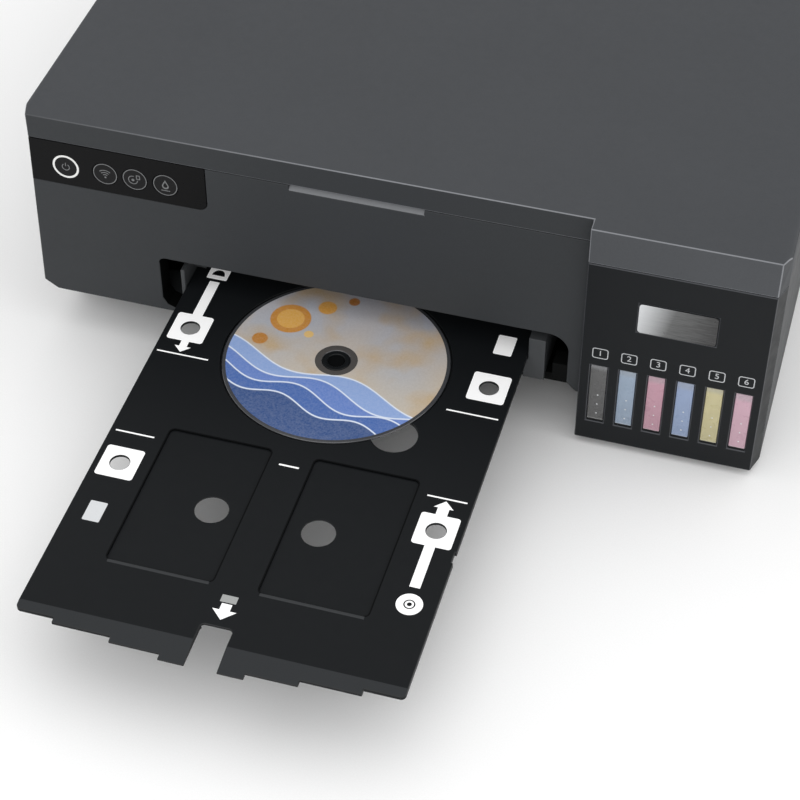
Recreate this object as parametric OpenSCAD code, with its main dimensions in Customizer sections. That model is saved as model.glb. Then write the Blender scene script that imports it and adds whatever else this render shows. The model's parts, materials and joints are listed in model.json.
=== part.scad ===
// Disc label printer: a six-ink tank printer with a front-loaded disc and card tray.
// Axes: +X to the right, +Y from front to back, +Z up. Millimetres.
// The origin is on the floor, under the middle of the box that holds printer and tray.

/* [Housing] */
// Width of the housing
body_w = 403; // [395:1:415]
// Depth of the housing, from the face of the ink tank unit to the back
body_d = 369; // [360:1:390]
// Height of the housing on its feet
body_h = 149; // [145:1:160]
// Wall of the plastic covers
wall = 2.5; // [2:0.1:3]
// Gap at the seams between pieces that part
seam = 0.4; // [0.3:0.1:0.6]
// Radius along the left edge of the top
top_round_left = 2; // [1:0.5:5]
// Radius along the right edge of the top
top_round_right = 5; // [3:0.5:7]
// Width of the facets that cut the two upright front corners
facet_w = 3.5; // [3:0.5:4]
// Depth of the facets along the sides
facet_d = 10.5; // [9:0.5:12]
// How much narrower the left facet gets towards the base
facet_taper = 3; // [0:0.5:3]
// Height of the rubber feet
foot_h = 4; // [3:0.5:4.5]
// Radius of the rubber feet
foot_r = 9; // [6:0.5:12]
// Inset of the feet from the edges of the base
foot_inset = 14; // [12:1:20]
// Height of the front cover's lower edge above the floor
skirt_z = 29; // [28:0.5:31]
// How far the base stands back from the front cover
base_setback = 30.5; // [26:0.5:33]
// How far the base stands in from the left side
base_inset = 4; // [3.5:0.5:4.5]
// Bevel at the lower left corner of the front cover
corner_cut = 8; // [4:0.5:12]

/* [Lid] */
// Height of the lid's edge over the main front
lid_band = 14.6; // [12:0.2:18]
// Height of the lid's edge over the ink tank unit
tank_band = 21.5; // [19:0.5:24]
// Depth of the lid, from the ink tank unit's face to its hinge edge
lid_d = 282; // [276:1:284]
// Radius of the barrel along the lid's hinge edge
barrel_r = 4; // [3.5:0.1:4.5]
// Radius of the lid's hinge pins
hinge_pin_r = 2; // [1.5:0.1:2.4]
// Running clearance of pins and shafts in their bores
fit = 0.06; // [0.03:0.01:0.1]
// Width of the finger recess under the lid's edge
finger_w = 72; // [50:1:90]
// Height and depth of the finger recess
finger_h = 3.5; // [2:0.5:5]
// Centre of the finger recess, measured from the path's centre line
finger_x = 2.5; // [-10:0.5:20]

/* [Control panel] */
// Width of the glossy control panel
panel_w = 101; // [98:1:105]
// Height of the glossy control panel
panel_h = 28.2; // [26:0.2:30]
// Radius of the panel's inner lower corner
panel_r = 5; // [2:0.5:8]
// Thickness of the panel
panel_t = 2; // [1.5:0.1:2]
// Radius of the power button
power_r = 7.4; // [6.5:0.1:8]
// Radius of the three smaller buttons
button_r = 6.9; // [6:0.1:7.5]
// Clearance round a button
button_gap = 0.2; // [0.15:0.05:0.3]
// Travel of a button
button_travel = 0.8; // [0.5:0.1:1]

/* [Ink tank unit] */
// Width of the ink tank unit
tank_unit_w = 98; // [96:1:102]
// How far the unit stands in front of the main front
tank_step = 8.1; // [6:0.1:10]
// Lower edge of the unit's face above the floor
tank_panel_z = 4.7; // [4.6:0.1:7]
// Number of ink tanks
tank_n = 6; // [6:1:6]
// Distance between neighbouring tanks
tank_pitch = 15.13; // [15:0.01:15.3]
// Centre of the first window, from the unit's left edge
window_x = 10.1; // [9:0.1:11]
// Width of a window
window_w = 9.2; // [8:0.1:10]
// Height of a window
window_h = 40.4; // [36:0.2:44]
// Lower edge of the windows above the floor
window_z = 18.3; // [16:0.1:22]
// Depth of a tank
tank_d = 56; // [50:1:58]
// Height of a tank
tank_h = 86; // [80:1:90]
// Wall of a tank
tank_wall = 1.2; // [1:0.1:1.5]
// Radius of the filler neck
neck_r = 4.6; // [4:0.1:5]
// Radius of the filler bore
filler_r = 3; // [2:0.1:3.4]
// Length of a tank cap
cap_len = 34; // [30:1:36]
// Thickness of a tank cap
cap_t = 5; // [4:0.5:6]
// Radius of a cap's hinge pin
cap_pin_r = 1.2; // [1:0.1:1.5]
// Width of the bare badge plate
badge_w = 40.3; // [30:0.5:50]
// Height of the bare badge plate
badge_h = 19.2; // [14:0.2:22]
// Lower edge of the badge plate above the floor
badge_z = 87.7; // [84:0.1:92]
// Thickness of the badge plate
badge_t = 0.8; // [0.5:0.1:1]

/* [Disc path] */
// Height of the tray's top face above the floor
path_z = 48.2; // [47.6:0.1:50]
// Width of the front face between the opening and the ink tank unit
slot_side = 8; // [6:0.5:12]
// Left edge of the front opening, from the path's centre line
slot_left = 109.3; // [107:0.1:112]
// Right edge of the front opening, from the path's centre line
slot_right = 117; // [114:0.1:119]
// Top of the front opening above the path
slot_top = 18.4; // [16:0.1:22]
// Bottom of the front opening below the path
slot_drop = 13.8; // [13.6:0.1:14]
// Radius of the opening's upper left corner
slot_r_left = 3.5; // [2:0.5:6]
// Radius of the opening's upper right corner
slot_r_right = 11; // [6:0.5:13]
// Depth of the rim that runs in from the opening
rim_d = 12; // [8:1:14]
// Depth of the part of the opening's right end that has no sill
slot_lip = 5; // [4:0.5:6]

/* [Disc tray] */
// Width of the disc and card tray
tray_w = 190.8; // [188:0.2:194]
// Length of the tray
tray_len = 303; // [298:1:304]
// Thickness of the tray
tray_t = 3; // [2.6:0.1:3.2]
// How far the tray's end stands out in front of the ink tank unit
tray_reach = 233.4; // [228:0.1:240]
// Distance from the tray's end to the middle of the disc
disc_from_end = 210.3; // [206:0.1:214]
// Length of the sloped lip at the tray's end
lip_len = 14.4; // [12:0.1:20]
// Depth of each of the three steps in the tray's end, on either side
lip_step = 3.1; // [2:0.1:4]
// Thickness left at the edge of the lip
lip_edge = 0.8; // [0.5:0.1:1.2]
// Depth of the card pockets
card_depth = 1; // [0.8:0.1:1.2]
// Width of a card pocket
card_w = 54.9; // [54.5:0.1:57]
// Length of a card pocket
card_l = 91; // [86:0.5:93]
// Distance of the card pockets' middle from the tray's centre line
card_x = 38.5; // [36:0.5:42]
// Distance from the middle of the disc to the middle of the card pockets
card_y = 116; // [114:0.5:118]
// Radius of the push-out holes in the card pockets
push_hole_r = 8.5; // [7:0.1:10]
// Radius of the finger hole at the edge of the disc
finger_hole_r = 12.1; // [10:0.1:13]
// Radius of the sensing holes
mark_hole_r = 5; // [4:0.1:6]
// Depth over which a hole in the tray is straight, before it widens
hole_land = 1.3; // [1.2:0.1:2]
// How much wider a hole is at the tray's underside
hole_flare = 2; // [1:0.1:2.5]
// Width of the hand notch in the tray's end
notch_w = 16; // [12:0.5:20]
// Length of the hand notch
notch_l = 24.5; // [20:0.5:26]

/* [Disc] */
// Radius of the disc
disc_r = 60; // [40:20:60]
// Thickness of the disc
disc_t = 1.2; // [1.1:0.1:1.3]
// Radius of the disc's centre hole
disc_hole_r = 7.5; // [7.5:0.1:7.6]
// Clearance of the disc in its pocket and over its hub
disc_gap = 0.3; // [0.2:0.1:0.8]

/* [Rollers and gears] */
// Distance from the main front to the eject roller's axis
eject_from_front = 54.7; // [54:0.1:56]
// Radius of the feed and eject rollers
roller_r = 5; // [4.8:0.1:5]
// Radius of the roller shafts
shaft_r = 3; // [2.5:0.1:3.4]
// Gap between a roller and the tray
nip = 0.15; // [0.1:0.05:0.3]
// Radius of the pinch rollers
pinch_r = 4; // [3.5:0.1:4.2]
// Radius of the star wheels
star_r = 4.5; // [4:0.1:5]
// Radius of the pinch and star wheel shafts
thin_shaft_r = 1.5; // [1.2:0.1:1.8]
// Module of the feed gears
gear_m = 0.8; // [0.78:0.01:0.82]
// Teeth of the feed and eject gears
roller_teeth = 48; // [48:2:48]
// Teeth of the idler gear between them
idler_teeth = 27; // [27:2:27]
// Teeth of the feed motor's pinion
pinion_teeth = 15; // [15:1:15]
// Face width of the gears
gear_face = 5; // [4:0.5:6]
// Thinning of each tooth, for backlash
backlash = 0.2; // [0.15:0.01:0.3]

/* [Carriage] */
// Width of the print carriage
carriage_w = 76; // [70:1:78]
// Depth of the print carriage
carriage_d = 58; // [54:1:59]
// Height of the print carriage
carriage_h = 62; // [55:1:64]
// Gap between the print head and the path
head_gap = 1.8; // [1.2:0.1:2.5]
// Radius of the belt pulleys
pulley_r = 6; // [5:0.1:7]
// Thickness of the timing belt
belt_t = 1.2; // [1:0.1:1.5]
// Width of the timing belt
belt_w = 5; // [4:0.5:6]
// Thickness of the steel frame's plates
plate_t = 1.5; // [1.2:0.1:2]

/* [Paper feeder] */
// Width of the feeder's opening
feeder_w = 236; // [230:1:240]
// Thickness of the paper support
support_t = 3; // [2.5:0.1:3.5]
// Angle of the feeder's slope from level
slope = 58; // [54:1:62]
// Radius of the pickup roller
pickup_r = 14; // [12:0.5:16]
// Height of the edge guides
guide_h = 14; // [10:0.5:18]
// Length of the edge guides
guide_l = 50; // [40:1:54]
// Distance of the edge guides from the top of the slope
guide_top = 14; // [10:1:18]

/* [Back and power] */
// Number of vents in the rear cover
vent_n = 12; // [8:1:14]
// Distance between neighbouring vents
vent_pitch = 8; // [7:0.5:8]
// Depth of the power supply
supply_d = 84; // [60:1:86]
// Height of the power supply
supply_h = 40; // [30:1:44]
// Distance of the power supply from the back
supply_back = 26; // [26:1:30]
// Distance of the power inlet from the right side
inlet_side = 50; // [44:1:51]

/* [Hidden] */
$fn = 64;
EPS = 0.01;

// Outer faces of the housing
x_left = -body_w / 2;
x_right = body_w / 2;
y_back = (body_d + tray_reach) / 2;
y_front = y_back - body_d;
y_main = y_front + tank_step;
y_end = y_front - tray_reach;
x_step = x_right - tank_unit_w;
top_round = max(top_round_left, top_round_right);
lid_z = body_h - lid_band;
lid_tank_z = body_h - tank_band;
y_lid_back = y_front + lid_d;
hinge_y = y_lid_back - barrel_r;
hinge_z = body_h - barrel_r;

// Base
floor_t = wall;
base_x0 = x_left + base_inset;
base_x1 = x_right - wall;
base_y0 = y_main + base_setback;
base_y1 = y_back - wall;
base_top = skirt_z - seam;
tub_floor = foot_h + floor_t;

// Plane of the switches behind the buttons
switch_y = y_main + wall + 3.5;

// Front opening, and the centre line of the path behind it
path_x = x_step - slot_side - slot_right;
slot_x0 = path_x - slot_left;
slot_x1 = path_x + slot_right;
slot_z0 = path_z - slot_drop;
slot_z1 = path_z + slot_top;

// Tray
disc_y = y_end + disc_from_end;
tray_z0 = path_z - tray_t;
hub_r = disc_hole_r - disc_gap;

// Rollers
eject_y = y_main + eject_from_front;
feed_y = eject_y + gear_m * (roller_teeth + idler_teeth);
roller_z = tray_z0 - nip - roller_r;
pinch_z = path_z + nip + pinch_r;
star_z = path_z + nip + star_r;
idler_y = eject_y + gear_m * (roller_teeth + idler_teeth) / 2;
pinion_angle = -30;
pinion_dist = gear_m * (roller_teeth + pinion_teeth) / 2;
pinion_y = feed_y + pinion_dist * cos(pinion_angle);
pinion_z = roller_z + pinion_dist * sin(pinion_angle);

// Steel frame
gear_room = gear_face + 2.5;
frame_x0 = base_x0 + wall + gear_room;
frame_x1 = base_x1 - wall - 0.5;
mid_x = path_x + slot_right + 3;
gear_x = frame_x0 - 1.5 - gear_face;

// Carriage at its parked place, on the right
park_x = frame_x1 - plate_t - 10 - carriage_w / 2;
carriage_y = eject_y + 9;
head_y0 = eject_y + star_r + 10.5;
head_y1 = feed_y - pinch_r - 5;
carriage_z = path_z + 11.8;
head_z = path_z + head_gap;
rail_y = carriage_y + carriage_d + 12;
rail_z0 = carriage_z + 14;
rail_z1 = rail_z0 + 36;
rail_d = 16;
belt_z = (rail_z0 + rail_z1) / 2;
belt_y = rail_y - 2.5 - belt_w;
pulley_x0 = frame_x0 + 17;
pulley_x1 = frame_x1 - 18;

// Tanks
tank_y0 = y_front + wall + 1.3;
tank_y1 = tank_y0 + tank_d;
tank_z0 = tub_floor;
tank_z1 = tank_z0 + tank_h;
tank_w = tank_pitch - 0.9;
cap_hinge_y = tank_y1 - 6;
cap_hinge_z = tank_z1 + 6.2;
INK_LEVEL = [40, 62, 58, 60, 64, 66];
INK_COLOR = ["dimgray", "lightsteelblue", "palevioletred", "cornflowerblue", "khaki", "pink"];

// Feeder
feeder_x0 = path_x - feeder_w / 2;
feeder_x1 = path_x + feeder_w / 2;
support_y1 = y_back - 2;
support_y0 = y_lid_back + 2 * seam;
support_hinge_y = support_y1 - 3;
support_hinge_z = body_h - 3;
slope_foot_y = y_back - 124;
slope_foot_z = path_z + 11;
slope_len = (body_h - 15.2 - slope_foot_z) / sin(slope);
pickup_y = slope_foot_y - 6;
pickup_z = slope_foot_z + pickup_r + 9;
paper_half = 105;

// Rear sockets and screws
inlet_x = x_right - inlet_side;
inlet_z = 40;
screw_r = 1.5;
screw_x = [x_left + 14, x_right - 14];
screw_z = [16, lid_tank_z - 9.5];

// Stored output tray, whose front closes the gap in the lower lip
out_x0 = path_x - 88;
out_x1 = path_x + 88;
out_z0 = base_top + 0.3;
out_t = 4.2;
out_y1 = feed_y + 60;

function tank_x(i) = x_step + window_x + i * tank_pitch;

// A block given by its lowest and highest corners
module block(a, b) {
    translate(a) cube([b[0] - a[0], b[1] - a[1], b[2] - a[2]]);
}

// A round bar along X, from x0 to x1
module bar_x(x0, x1, y, z, r) {
    translate([x0, y, z]) rotate([0, 90, 0]) cylinder(h = x1 - x0, r = r);
}

// A round bar along Y, from y0 to y1
module bar_y(x, y0, y1, z, r) {
    translate([x, y0, z]) rotate([-90, 0, 0]) cylinder(h = y1 - y0, r = r);
}

// A rectangle with round corners, drawn from true arcs
module rounded(size, r) {
    translate([r, 0]) square([size[0] - 2 * r, size[1]]);
    translate([0, r]) square([size[0], size[1] - 2 * r]);
    for (x = [r, size[0] - r], y = [r, size[1] - r]) translate([x, y]) circle(r);
}

// Extrudes a drawing of the X-Z plane along Y, from y0 to y1
module along_y(y0, y1) {
    translate([0, y1, 0]) rotate([90, 0, 0]) linear_extrude(y1 - y0) children();
}

// Extrudes a drawing of the Y-Z plane along X, from x0 to x1
module along_x(x0, x1) {
    translate([x0, 0, 0]) rotate([90, 0, 90]) linear_extrude(x1 - x0) children();
}

// The housing's cross-section, in by some distance, with rounded top edges
module shell_section(inset) {
    x0 = x_left + inset;
    x1 = x_right - inset;
    z1 = body_h - inset;
    difference() {
        translate([x0, 0]) square([x1 - x0, z1]);
        translate([x0, z1]) corner_bit(max(top_round_left - inset, 0.5), 1, -1);
        translate([x1, z1]) corner_bit(max(top_round_right - inset, 0.5), -1, -1);
    }
}

// Width of a facet's inner side, behind skin of thickness t
function facet_in(t) = facet_w - t / 2;

// Plan of what a facet of width w cuts off; side is -1 for a left corner and 1 for a right one
module facet(x, y, w, side) {
    d = w * facet_d / facet_w;
    polygon([
        [x - side * w, y - 1], [x - side * w, y], [x, y + d], [x + side * 2, y + d],
        [x + side * 2, y - 1]
    ]);
}

// Plan of the lid, in by some distance
module lid_plan(inset) {
    difference() {
        polygon([
            [x_left - 1, y_main + inset], [x_step + inset, y_main + inset],
            [x_step + inset, y_front + inset], [x_right + 1, y_front + inset],
            [x_right + 1, hinge_y], [x_left - 1, hinge_y]
        ]);
        facet(x_left + inset, y_main + inset, facet_in(inset), -1);
        facet(x_right - inset, y_front + inset, facet_in(inset), 1);
    }
}

// Plan of a front skin of thickness t from x0 to x1, that turns the corner at one end
module front_skin(x0, x1, y, t, side) {
    difference() {
        translate([x0, y]) square([x1 - x0, facet_d]);
        if (side > 0) facet(x1, y, facet_w, side);
        difference() {
            translate([side < 0 ? x0 + t : x0 - 1, y + t]) square([x1 - x0 - t + 1, facet_d]);
            facet(side < 0 ? x0 + t : x1 - t, y + t, facet_in(t), side);
        }
    }
}

// What the left facet cuts off under the lid
module left_trim() {
    turn = atan2(facet_w, facet_d);
    lean = atan2(facet_taper, lid_z - skirt_z);
    translate([x_left + facet_w, y_main, lid_z]) rotate([0, 0, turn]) rotate([0, lean, 0])
        translate([-20, -20, -lid_z]) cube([20, 60, lid_z + 20]);
}

module base_tub() {
    rib_x = [path_x - 86, path_x + 84];
    color("#2b2c2e") union() {
        difference() {
            block([base_x0, base_y0, foot_h], [base_x1, base_y1, base_top]);
            block([base_x0 + wall, base_y0 + wall, tub_floor],
                [base_x1 - wall, base_y1 - wall, body_h]);
            for (x = screw_x) bar_y(x, base_y1 - 10, base_y1 + 1, screw_z[0], screw_r + 0.1);
            // Room for the ink tank unit, which reaches in from the front
            block([x_step - seam, y_front, foot_h - EPS], [x_right, base_y0 + wall + EPS, body_h]);
        }
        // Floor and cheeks round the ink tanks
        block([x_step + wall, y_front + wall, foot_h + 1],
            [x_right - wall - facet_w, base_y0 + wall + EPS, tub_floor]);
        block([x_step + wall, y_front + facet_d, foot_h + 1],
            [base_x1, base_y0 + wall + EPS, tub_floor]);
        block([x_step, tank_y1 + seam, foot_h], [base_x1, tank_y1 + seam + wall, base_top]);
        block([x_step - wall - seam, base_y0, foot_h], [x_step - seam, tank_y1 + wall, base_top]);
        // Runners that carry the output tray
        for (x = rib_x) block([x, base_y0 + EPS, foot_h + 1], [x + 3, y_back - 140, base_top]);
        // Bosses that carry the rear cover's screws
        for (x = screw_x) difference() {
            block([x - 4, base_y1 - 8, foot_h + 1], [x + 4, base_y1 - wall + EPS, base_top]);
            bar_y(x, base_y1 - 10, base_y1 + 1, screw_z[0], screw_r + 0.1);
        }
    }
}

module rubber_feet() {
    x0 = base_x0 + foot_inset;
    x1 = base_x1 - foot_inset;
    y0 = base_y0 + foot_inset;
    y1 = base_y1 - foot_inset;
    color("#1c1c1d") for (x = [x0, x1], y = [y0, y1]) translate([x, y, 0]) union() {
        cylinder(h = 1, r1 = foot_r - 1, r2 = foot_r, $fn = 96);
        translate([0, 0, 1]) cylinder(h = foot_h - 1, r = foot_r, $fn = 96);
    }
}

// Outline of the front opening
module slot_outline() {
    // The left end's sill is lower, level with the underside
    sill_z = skirt_z + wall;
    difference() {
        union() {
            translate([slot_x0, slot_z0]) square([slot_x1 - slot_x0, slot_z1 - slot_z0]);
            translate([slot_x0, sill_z]) square([out_x0 - slot_x0, slot_z1 - sill_z]);
        }
        translate([slot_x0, slot_z1]) corner_bit(slot_r_left, 1, -1);
        translate([slot_x1, slot_z1]) corner_bit(slot_r_right, -1, -1);
        polygon([
            [slot_x0 - 1, sill_z - 1], [slot_x0 + 7.5, sill_z - 1], [slot_x0 + 7.5, sill_z],
            [slot_x0 + 2.6, sill_z + 2], [slot_x0, sill_z + 6.5], [slot_x0 - 1, sill_z + 6.5]
        ]);
    }
}

// The spandrel that rounds one corner; sx and sy point into the opening
module corner_bit(r, sx, sy) {
    scale_x = sx > 0 ? 0 : 1;
    scale_y = sy > 0 ? 0 : 1;
    mirror([scale_x, 0]) mirror([0, scale_y]) difference() {
        translate([-1, -1]) square(r + 1);
        translate([r, r]) circle(r);
    }
}

module front_cover() {
    top = lid_z - seam;
    color("#3c3e40") difference() {
        union() {
            // Face, which turns the left corner
            intersection() {
                translate([0, 0, skirt_z - 1]) linear_extrude(top - skirt_z + 1)
                    front_skin(x_left, x_step, y_main, wall, -1);
                along_y(y_main - 1, y_main + facet_d + 1) difference() {
                    polygon([
                        [x_left + corner_cut, skirt_z], [x_step, skirt_z], [x_step, top],
                        [x_left, top], [x_left, skirt_z + corner_cut * 0.65]
                    ]);
                    slot_outline();
                }
            }
            // Rim that runs in round the opening
            along_y(y_main + wall - EPS, y_main + rim_d) difference() {
                translate([slot_x0 - wall, skirt_z])
                    square([min(slot_x1 + wall, x_step - seam) - slot_x0 + wall, slot_z1 + wall - skirt_z]);
                slot_outline();
            }
            // Underside, back to the base, on both sides of the output tray
            block([x_left + corner_cut, y_main + wall - EPS, skirt_z],
                [out_x0 - seam, base_y0 - seam, skirt_z + wall]);
            block([out_x1 + seam, y_main + wall - EPS, skirt_z],
                [x_step - wall - 2 * seam, base_y0 - seam, skirt_z + wall]);
            // Ledge that stiffens the top edge
            block([x_left + wall + facet_w, y_main + EPS, top - wall], [x_step, y_main + 9, top]);
            // Stop beside the right-hand tray guide
            block([slot_x1 - 8.2, y_main + 0.8, slot_z0 - EPS],
                [slot_x1 + EPS, y_main + rim_d, slot_z0 + 11.4]);
            // Backing that carries the control panel and its buttons
            block([x_left + wall + seam, y_main + wall, lid_z - panel_h - 4],
                [x_left + panel_w + 4, switch_y + 2, top]);
        }
        // Seat of the control panel, open to the buttons behind it
        intersection() {
            along_y(y_main - 1, y_main + facet_d - EPS) panel_outline(0.1);
            linear_extrude(body_h) front_skin(x_left, x_step, y_main, panel_t, -1);
        }
        left_trim();
        for (i = [0:3]) bar_y(button_x(i), y_main, switch_y, button_z(), button_radius(i) + 1.2);
        // Finger recess
        translate([path_x + finger_x, y_main, top]) rotate([45, 0, 0])
            cube([finger_w, finger_h * 1.414, finger_h * 1.414], center = true);
        // Gap for the output tray's front
        block([out_x0 - seam, y_main - 1, skirt_z - 1], [out_x1 + seam, y_main + rim_d + 1, slot_z0 + EPS]);
        // The right end has no sill in front, and the leg beside it is cut off at a slant
        along_y(y_main - 1, y_main + slot_lip) polygon([
            [out_x1, skirt_z - 1], [slot_x1 + slot_z0 - skirt_z, skirt_z - 1],
            [slot_x1 + slot_z0 - skirt_z, skirt_z], [slot_x1, slot_z0 + EPS], [out_x1, slot_z0 + EPS]
        ]);
    }
}

function button_x(i) = x_left + [22.8, 44.9, 61.5, 78.5][i];
function button_z() = lid_z - 15.9;
function button_radius(i) = i == 0 ? power_r : button_r;

// Outline of the control panel, grown by a gap
module panel_outline(gap) {
    x1 = x_left + panel_w + gap;
    z0 = lid_z - panel_h - gap;
    z1 = lid_z - seam;
    difference() {
        translate([x_left - 1, z0]) square([x1 - x_left + 1, z1 - z0 + 1]);
        translate([x1, z0]) corner_bit(panel_r, -1, 1);
    }
}

module control_panel() {
    color("#131314") difference() {
        intersection() {
            along_y(y_main - 1, y_main + facet_d - 0.1) panel_outline(0);
            linear_extrude(lid_z - seam) front_skin(x_left, x_step, y_main, panel_t - 0.05, -1);
        }
        left_trim();
        for (i = [0:3])
            bar_y(button_x(i), y_main - 1, y_main + 5, button_z(), button_radius(i) + button_gap);
    }
}

// A button: its face stands level with the panel, its collar lies behind it
module button(i) {
    r = button_radius(i);
    color(i == 0 ? "#d8d8d8" : "#1b1b1c") union() {
        bar_y(button_x(i), y_main + 0.1, y_main + panel_t + 1.6, button_z(), r);
        bar_y(button_x(i), y_main + panel_t + 0.25, y_main + panel_t + 1.6, button_z(), r + 0.8);
        bar_y(button_x(i), y_main + panel_t + 1.5, switch_y - button_travel - 0.2, button_z(), 2);
    }
}

module power_button() { button(0); }
module network_button() { button(1); }
module disc_button() { button(2); }
module cleaning_button() { button(3); }

module left_side_cover() {
    z0 = skirt_z + corner_cut * 0.65;
    color("#3a3c3e") union() {
        block([x_left, y_main + facet_d, z0], [x_left + wall, y_back, lid_z - seam]);
        // Turned-in lower edge, down to the base
        block([x_left, y_main + rim_d + 1, skirt_z], [x_left + wall, y_back, z0 + EPS]);
        block([x_left, y_main + rim_d + 1, skirt_z], [base_x0 + wall, y_back - wall, skirt_z + 2]);
        hinge_ear(-1);
        screw_boss(-1);
    }
}

module right_side_cover() {
    color("#5a5c5e") union() {
        block([x_right - wall, y_front + facet_d, tank_panel_z], [x_right, y_back, lid_tank_z - seam]);
        hinge_ear(1);
        screw_boss(1);
    }
}

// A boss inside a side cover for one of the rear cover's upper screws
module screw_boss(side) {
    x = side < 0 ? screw_x[0] : screw_x[1];
    x_in = side < 0 ? x_left + wall - EPS : x - 4;
    x_out = side < 0 ? x + 4 : x_right - wall + EPS;
    difference() {
        block([x_in, y_back - wall - 12, screw_z[1] - 4], [x_out, y_back - wall, screw_z[1] + 4]);
        bar_y(x, y_back - 20, y_back + 1, screw_z[1], screw_r + 0.1);
    }
}

// An ear inside a side cover, with the bore for the lid's pin
module hinge_ear(side) {
    x_in = side < 0 ? x_left + wall - EPS : x_right - wall - 7;
    top = side < 0 ? lid_z : lid_tank_z;
    difference() {
        union() {
            block([x_in, hinge_y - 6, top - 16], [x_in + 7 + EPS, hinge_y + barrel_r + 2, hinge_z - 1]);
            bar_x(x_in, x_in + 7 + EPS, hinge_y, hinge_z, barrel_r);
        }
        bar_x(x_in - 10, x_in + 20, hinge_y, hinge_z, hinge_pin_r + fit);
    }
}

module printer_lid() {
    x0 = x_left + wall + 7.4;
    x1 = x_right - wall - 7.4;
    color("#4f5153") union() {
        difference() {
            intersection() {
                translate([0, 0, lid_tank_z - 5]) linear_extrude(body_h) lid_plan(0);
                along_y(y_front - 1, y_lid_back) shell_section(0);
            }
            // The band is lower over the ink tank unit than over the main front
            block([x_left - 1, y_front - 1, 0], [x_step, y_lid_back, lid_z]);
            block([x_left - 1, y_front - 1, 0], [x_right + 1, y_lid_back, lid_tank_z]);
            block([x_left - 1, y_main + wall + 1, 0], [x_right - wall, y_lid_back, lid_z]);
            // Inside
            difference() {
                intersection() {
                    translate([0, 0, lid_tank_z - 6]) linear_extrude(body_h) lid_plan(wall);
                    along_y(y_front - 1, y_lid_back) shell_section(wall);
                }
                block([x_left, hinge_y - 12, body_h - 4], [x_right, y_lid_back, body_h]);
            }
            // Corners that clear the hinge ears
            for (x = [x_left - 1, x1])
                block([x, hinge_y - 9, 0], [x + wall + 8.4, y_lid_back, body_h - wall - top_round]);
            for (x = [x_left + wall - 1, x1]) block([x, hinge_y - 9, 0], [x + 8.4, y_lid_back, body_h + 1]);
        }
        // Barrel along the hinge edge, with a pin at each end
        bar_x(x0, x1, hinge_y, hinge_z, barrel_r);
        bar_x(x0 - 5, x1 + 5, hinge_y, hinge_z, hinge_pin_r);
        // Ribs under the top
        for (y = [y_main + 70, y_main + 150])
            block([x_left + 20, y, body_h - wall - 4], [x_right - 20, y + 2, body_h - wall + EPS]);
    }
}

module rear_top_cover() {
    y0 = y_lid_back + seam;
    sill_z = support_hinge_z - 3.5;
    color("#4a4c4e") difference() {
        along_y(y0, y_back) shell_section(0);
        along_y(y0 - 1, y_back - wall) shell_section(wall);
        // Lower edge, level with the side and rear covers
        block([x_left - 1, y0 - 1, -1], [x_right + 1, y_back + 1, lid_tank_z]);
        block([x_left - 1, y0 - 1, -1], [x_left + wall, y_back + 1, lid_z]);
        // Opening of the paper feeder, over a sill at the back, and room for the support's ears
        block([feeder_x0 - seam, y0 - 1, 0], [feeder_x1 + seam, y_back - wall - EPS, body_h + 1]);
        block([feeder_x0 - seam, y0 - 1, sill_z], [feeder_x1 + seam, y_back + 1, body_h + 1]);
        for (x = [feeder_x0 - 7, feeder_x1 + 1])
            block([x - 1, support_hinge_y - 6, body_h - wall - top_round], [x + 7, y_back + 1, body_h + 1]);
    }
}

module rear_cover() {
    color("#37393b") difference() {
        union() {
            block([x_left + wall, y_back - wall, foot_h + 2], [x_right - wall, y_back, lid_tank_z - seam]);
            // Ears that carry the paper support
            for (x = [feeder_x0 - 7, feeder_x1 + 1]) ear_block(x);
        }
        // Vents
        for (i = [0:vent_n - 1]) translate([path_x + 1.5 + i * vent_pitch, 0, 0])
            block([0, y_back - wall - 1, 60], [vent_pitch / 2, y_back + 1, 84]);
        // Openings for the power inlet and the data socket
        block([inlet_x - 12, y_back - 5, inlet_z - 8], [inlet_x + 12, y_back + 1, inlet_z + 8]);
        block([inlet_x - 52, y_back - 5, inlet_z - 6], [inlet_x - 38, y_back + 1, inlet_z + 6]);
        // Screw holes with seats for the heads
        for (x = screw_x, z = screw_z) {
            bar_y(x, y_back - wall - 1, y_back + 1, z, screw_r + 0.1);
            bar_y(x, y_back - 1.2, y_back + 1, z, 2 * screw_r + 0.2);
        }
    }
}

// Ear with the bore for one pin of the paper support
module ear_block(x) {
    difference() {
        union() {
            block([x, support_hinge_y - 3, lid_tank_z - 20], [x + 6, y_back - wall + EPS, lid_tank_z - 1]);
            block([x, support_hinge_y - 3, lid_tank_z - 20], [x + 6, y_back - wall - 0.1, support_hinge_z]);
            bar_x(x, x + 6, support_hinge_y, support_hinge_z, 2.4);
        }
        bar_x(x - 10, x + 20, support_hinge_y, support_hinge_z, 1.5 + fit);
    }
}

module paper_support() {
    x0 = feeder_x0 + 0.1;
    x1 = feeder_x1 - 0.1;
    color("#47494b") union() {
        block([x0, support_y0, body_h - support_t], [x1, support_hinge_y, body_h]);
        bar_x(x0, x1, support_hinge_y, support_hinge_z, 3);
        bar_x(x0 - 5, x1 + 5, support_hinge_y, support_hinge_z, 1.5);
        // Ribs that the paper leans on, and the pull at the front edge
        for (i = [0:4]) block([x0 + 24 + i * 46, support_y0 + 8, body_h - support_t - 2],
            [x0 + 26 + i * 46, support_hinge_y - 10, body_h - support_t + EPS]);
    }
}

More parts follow.
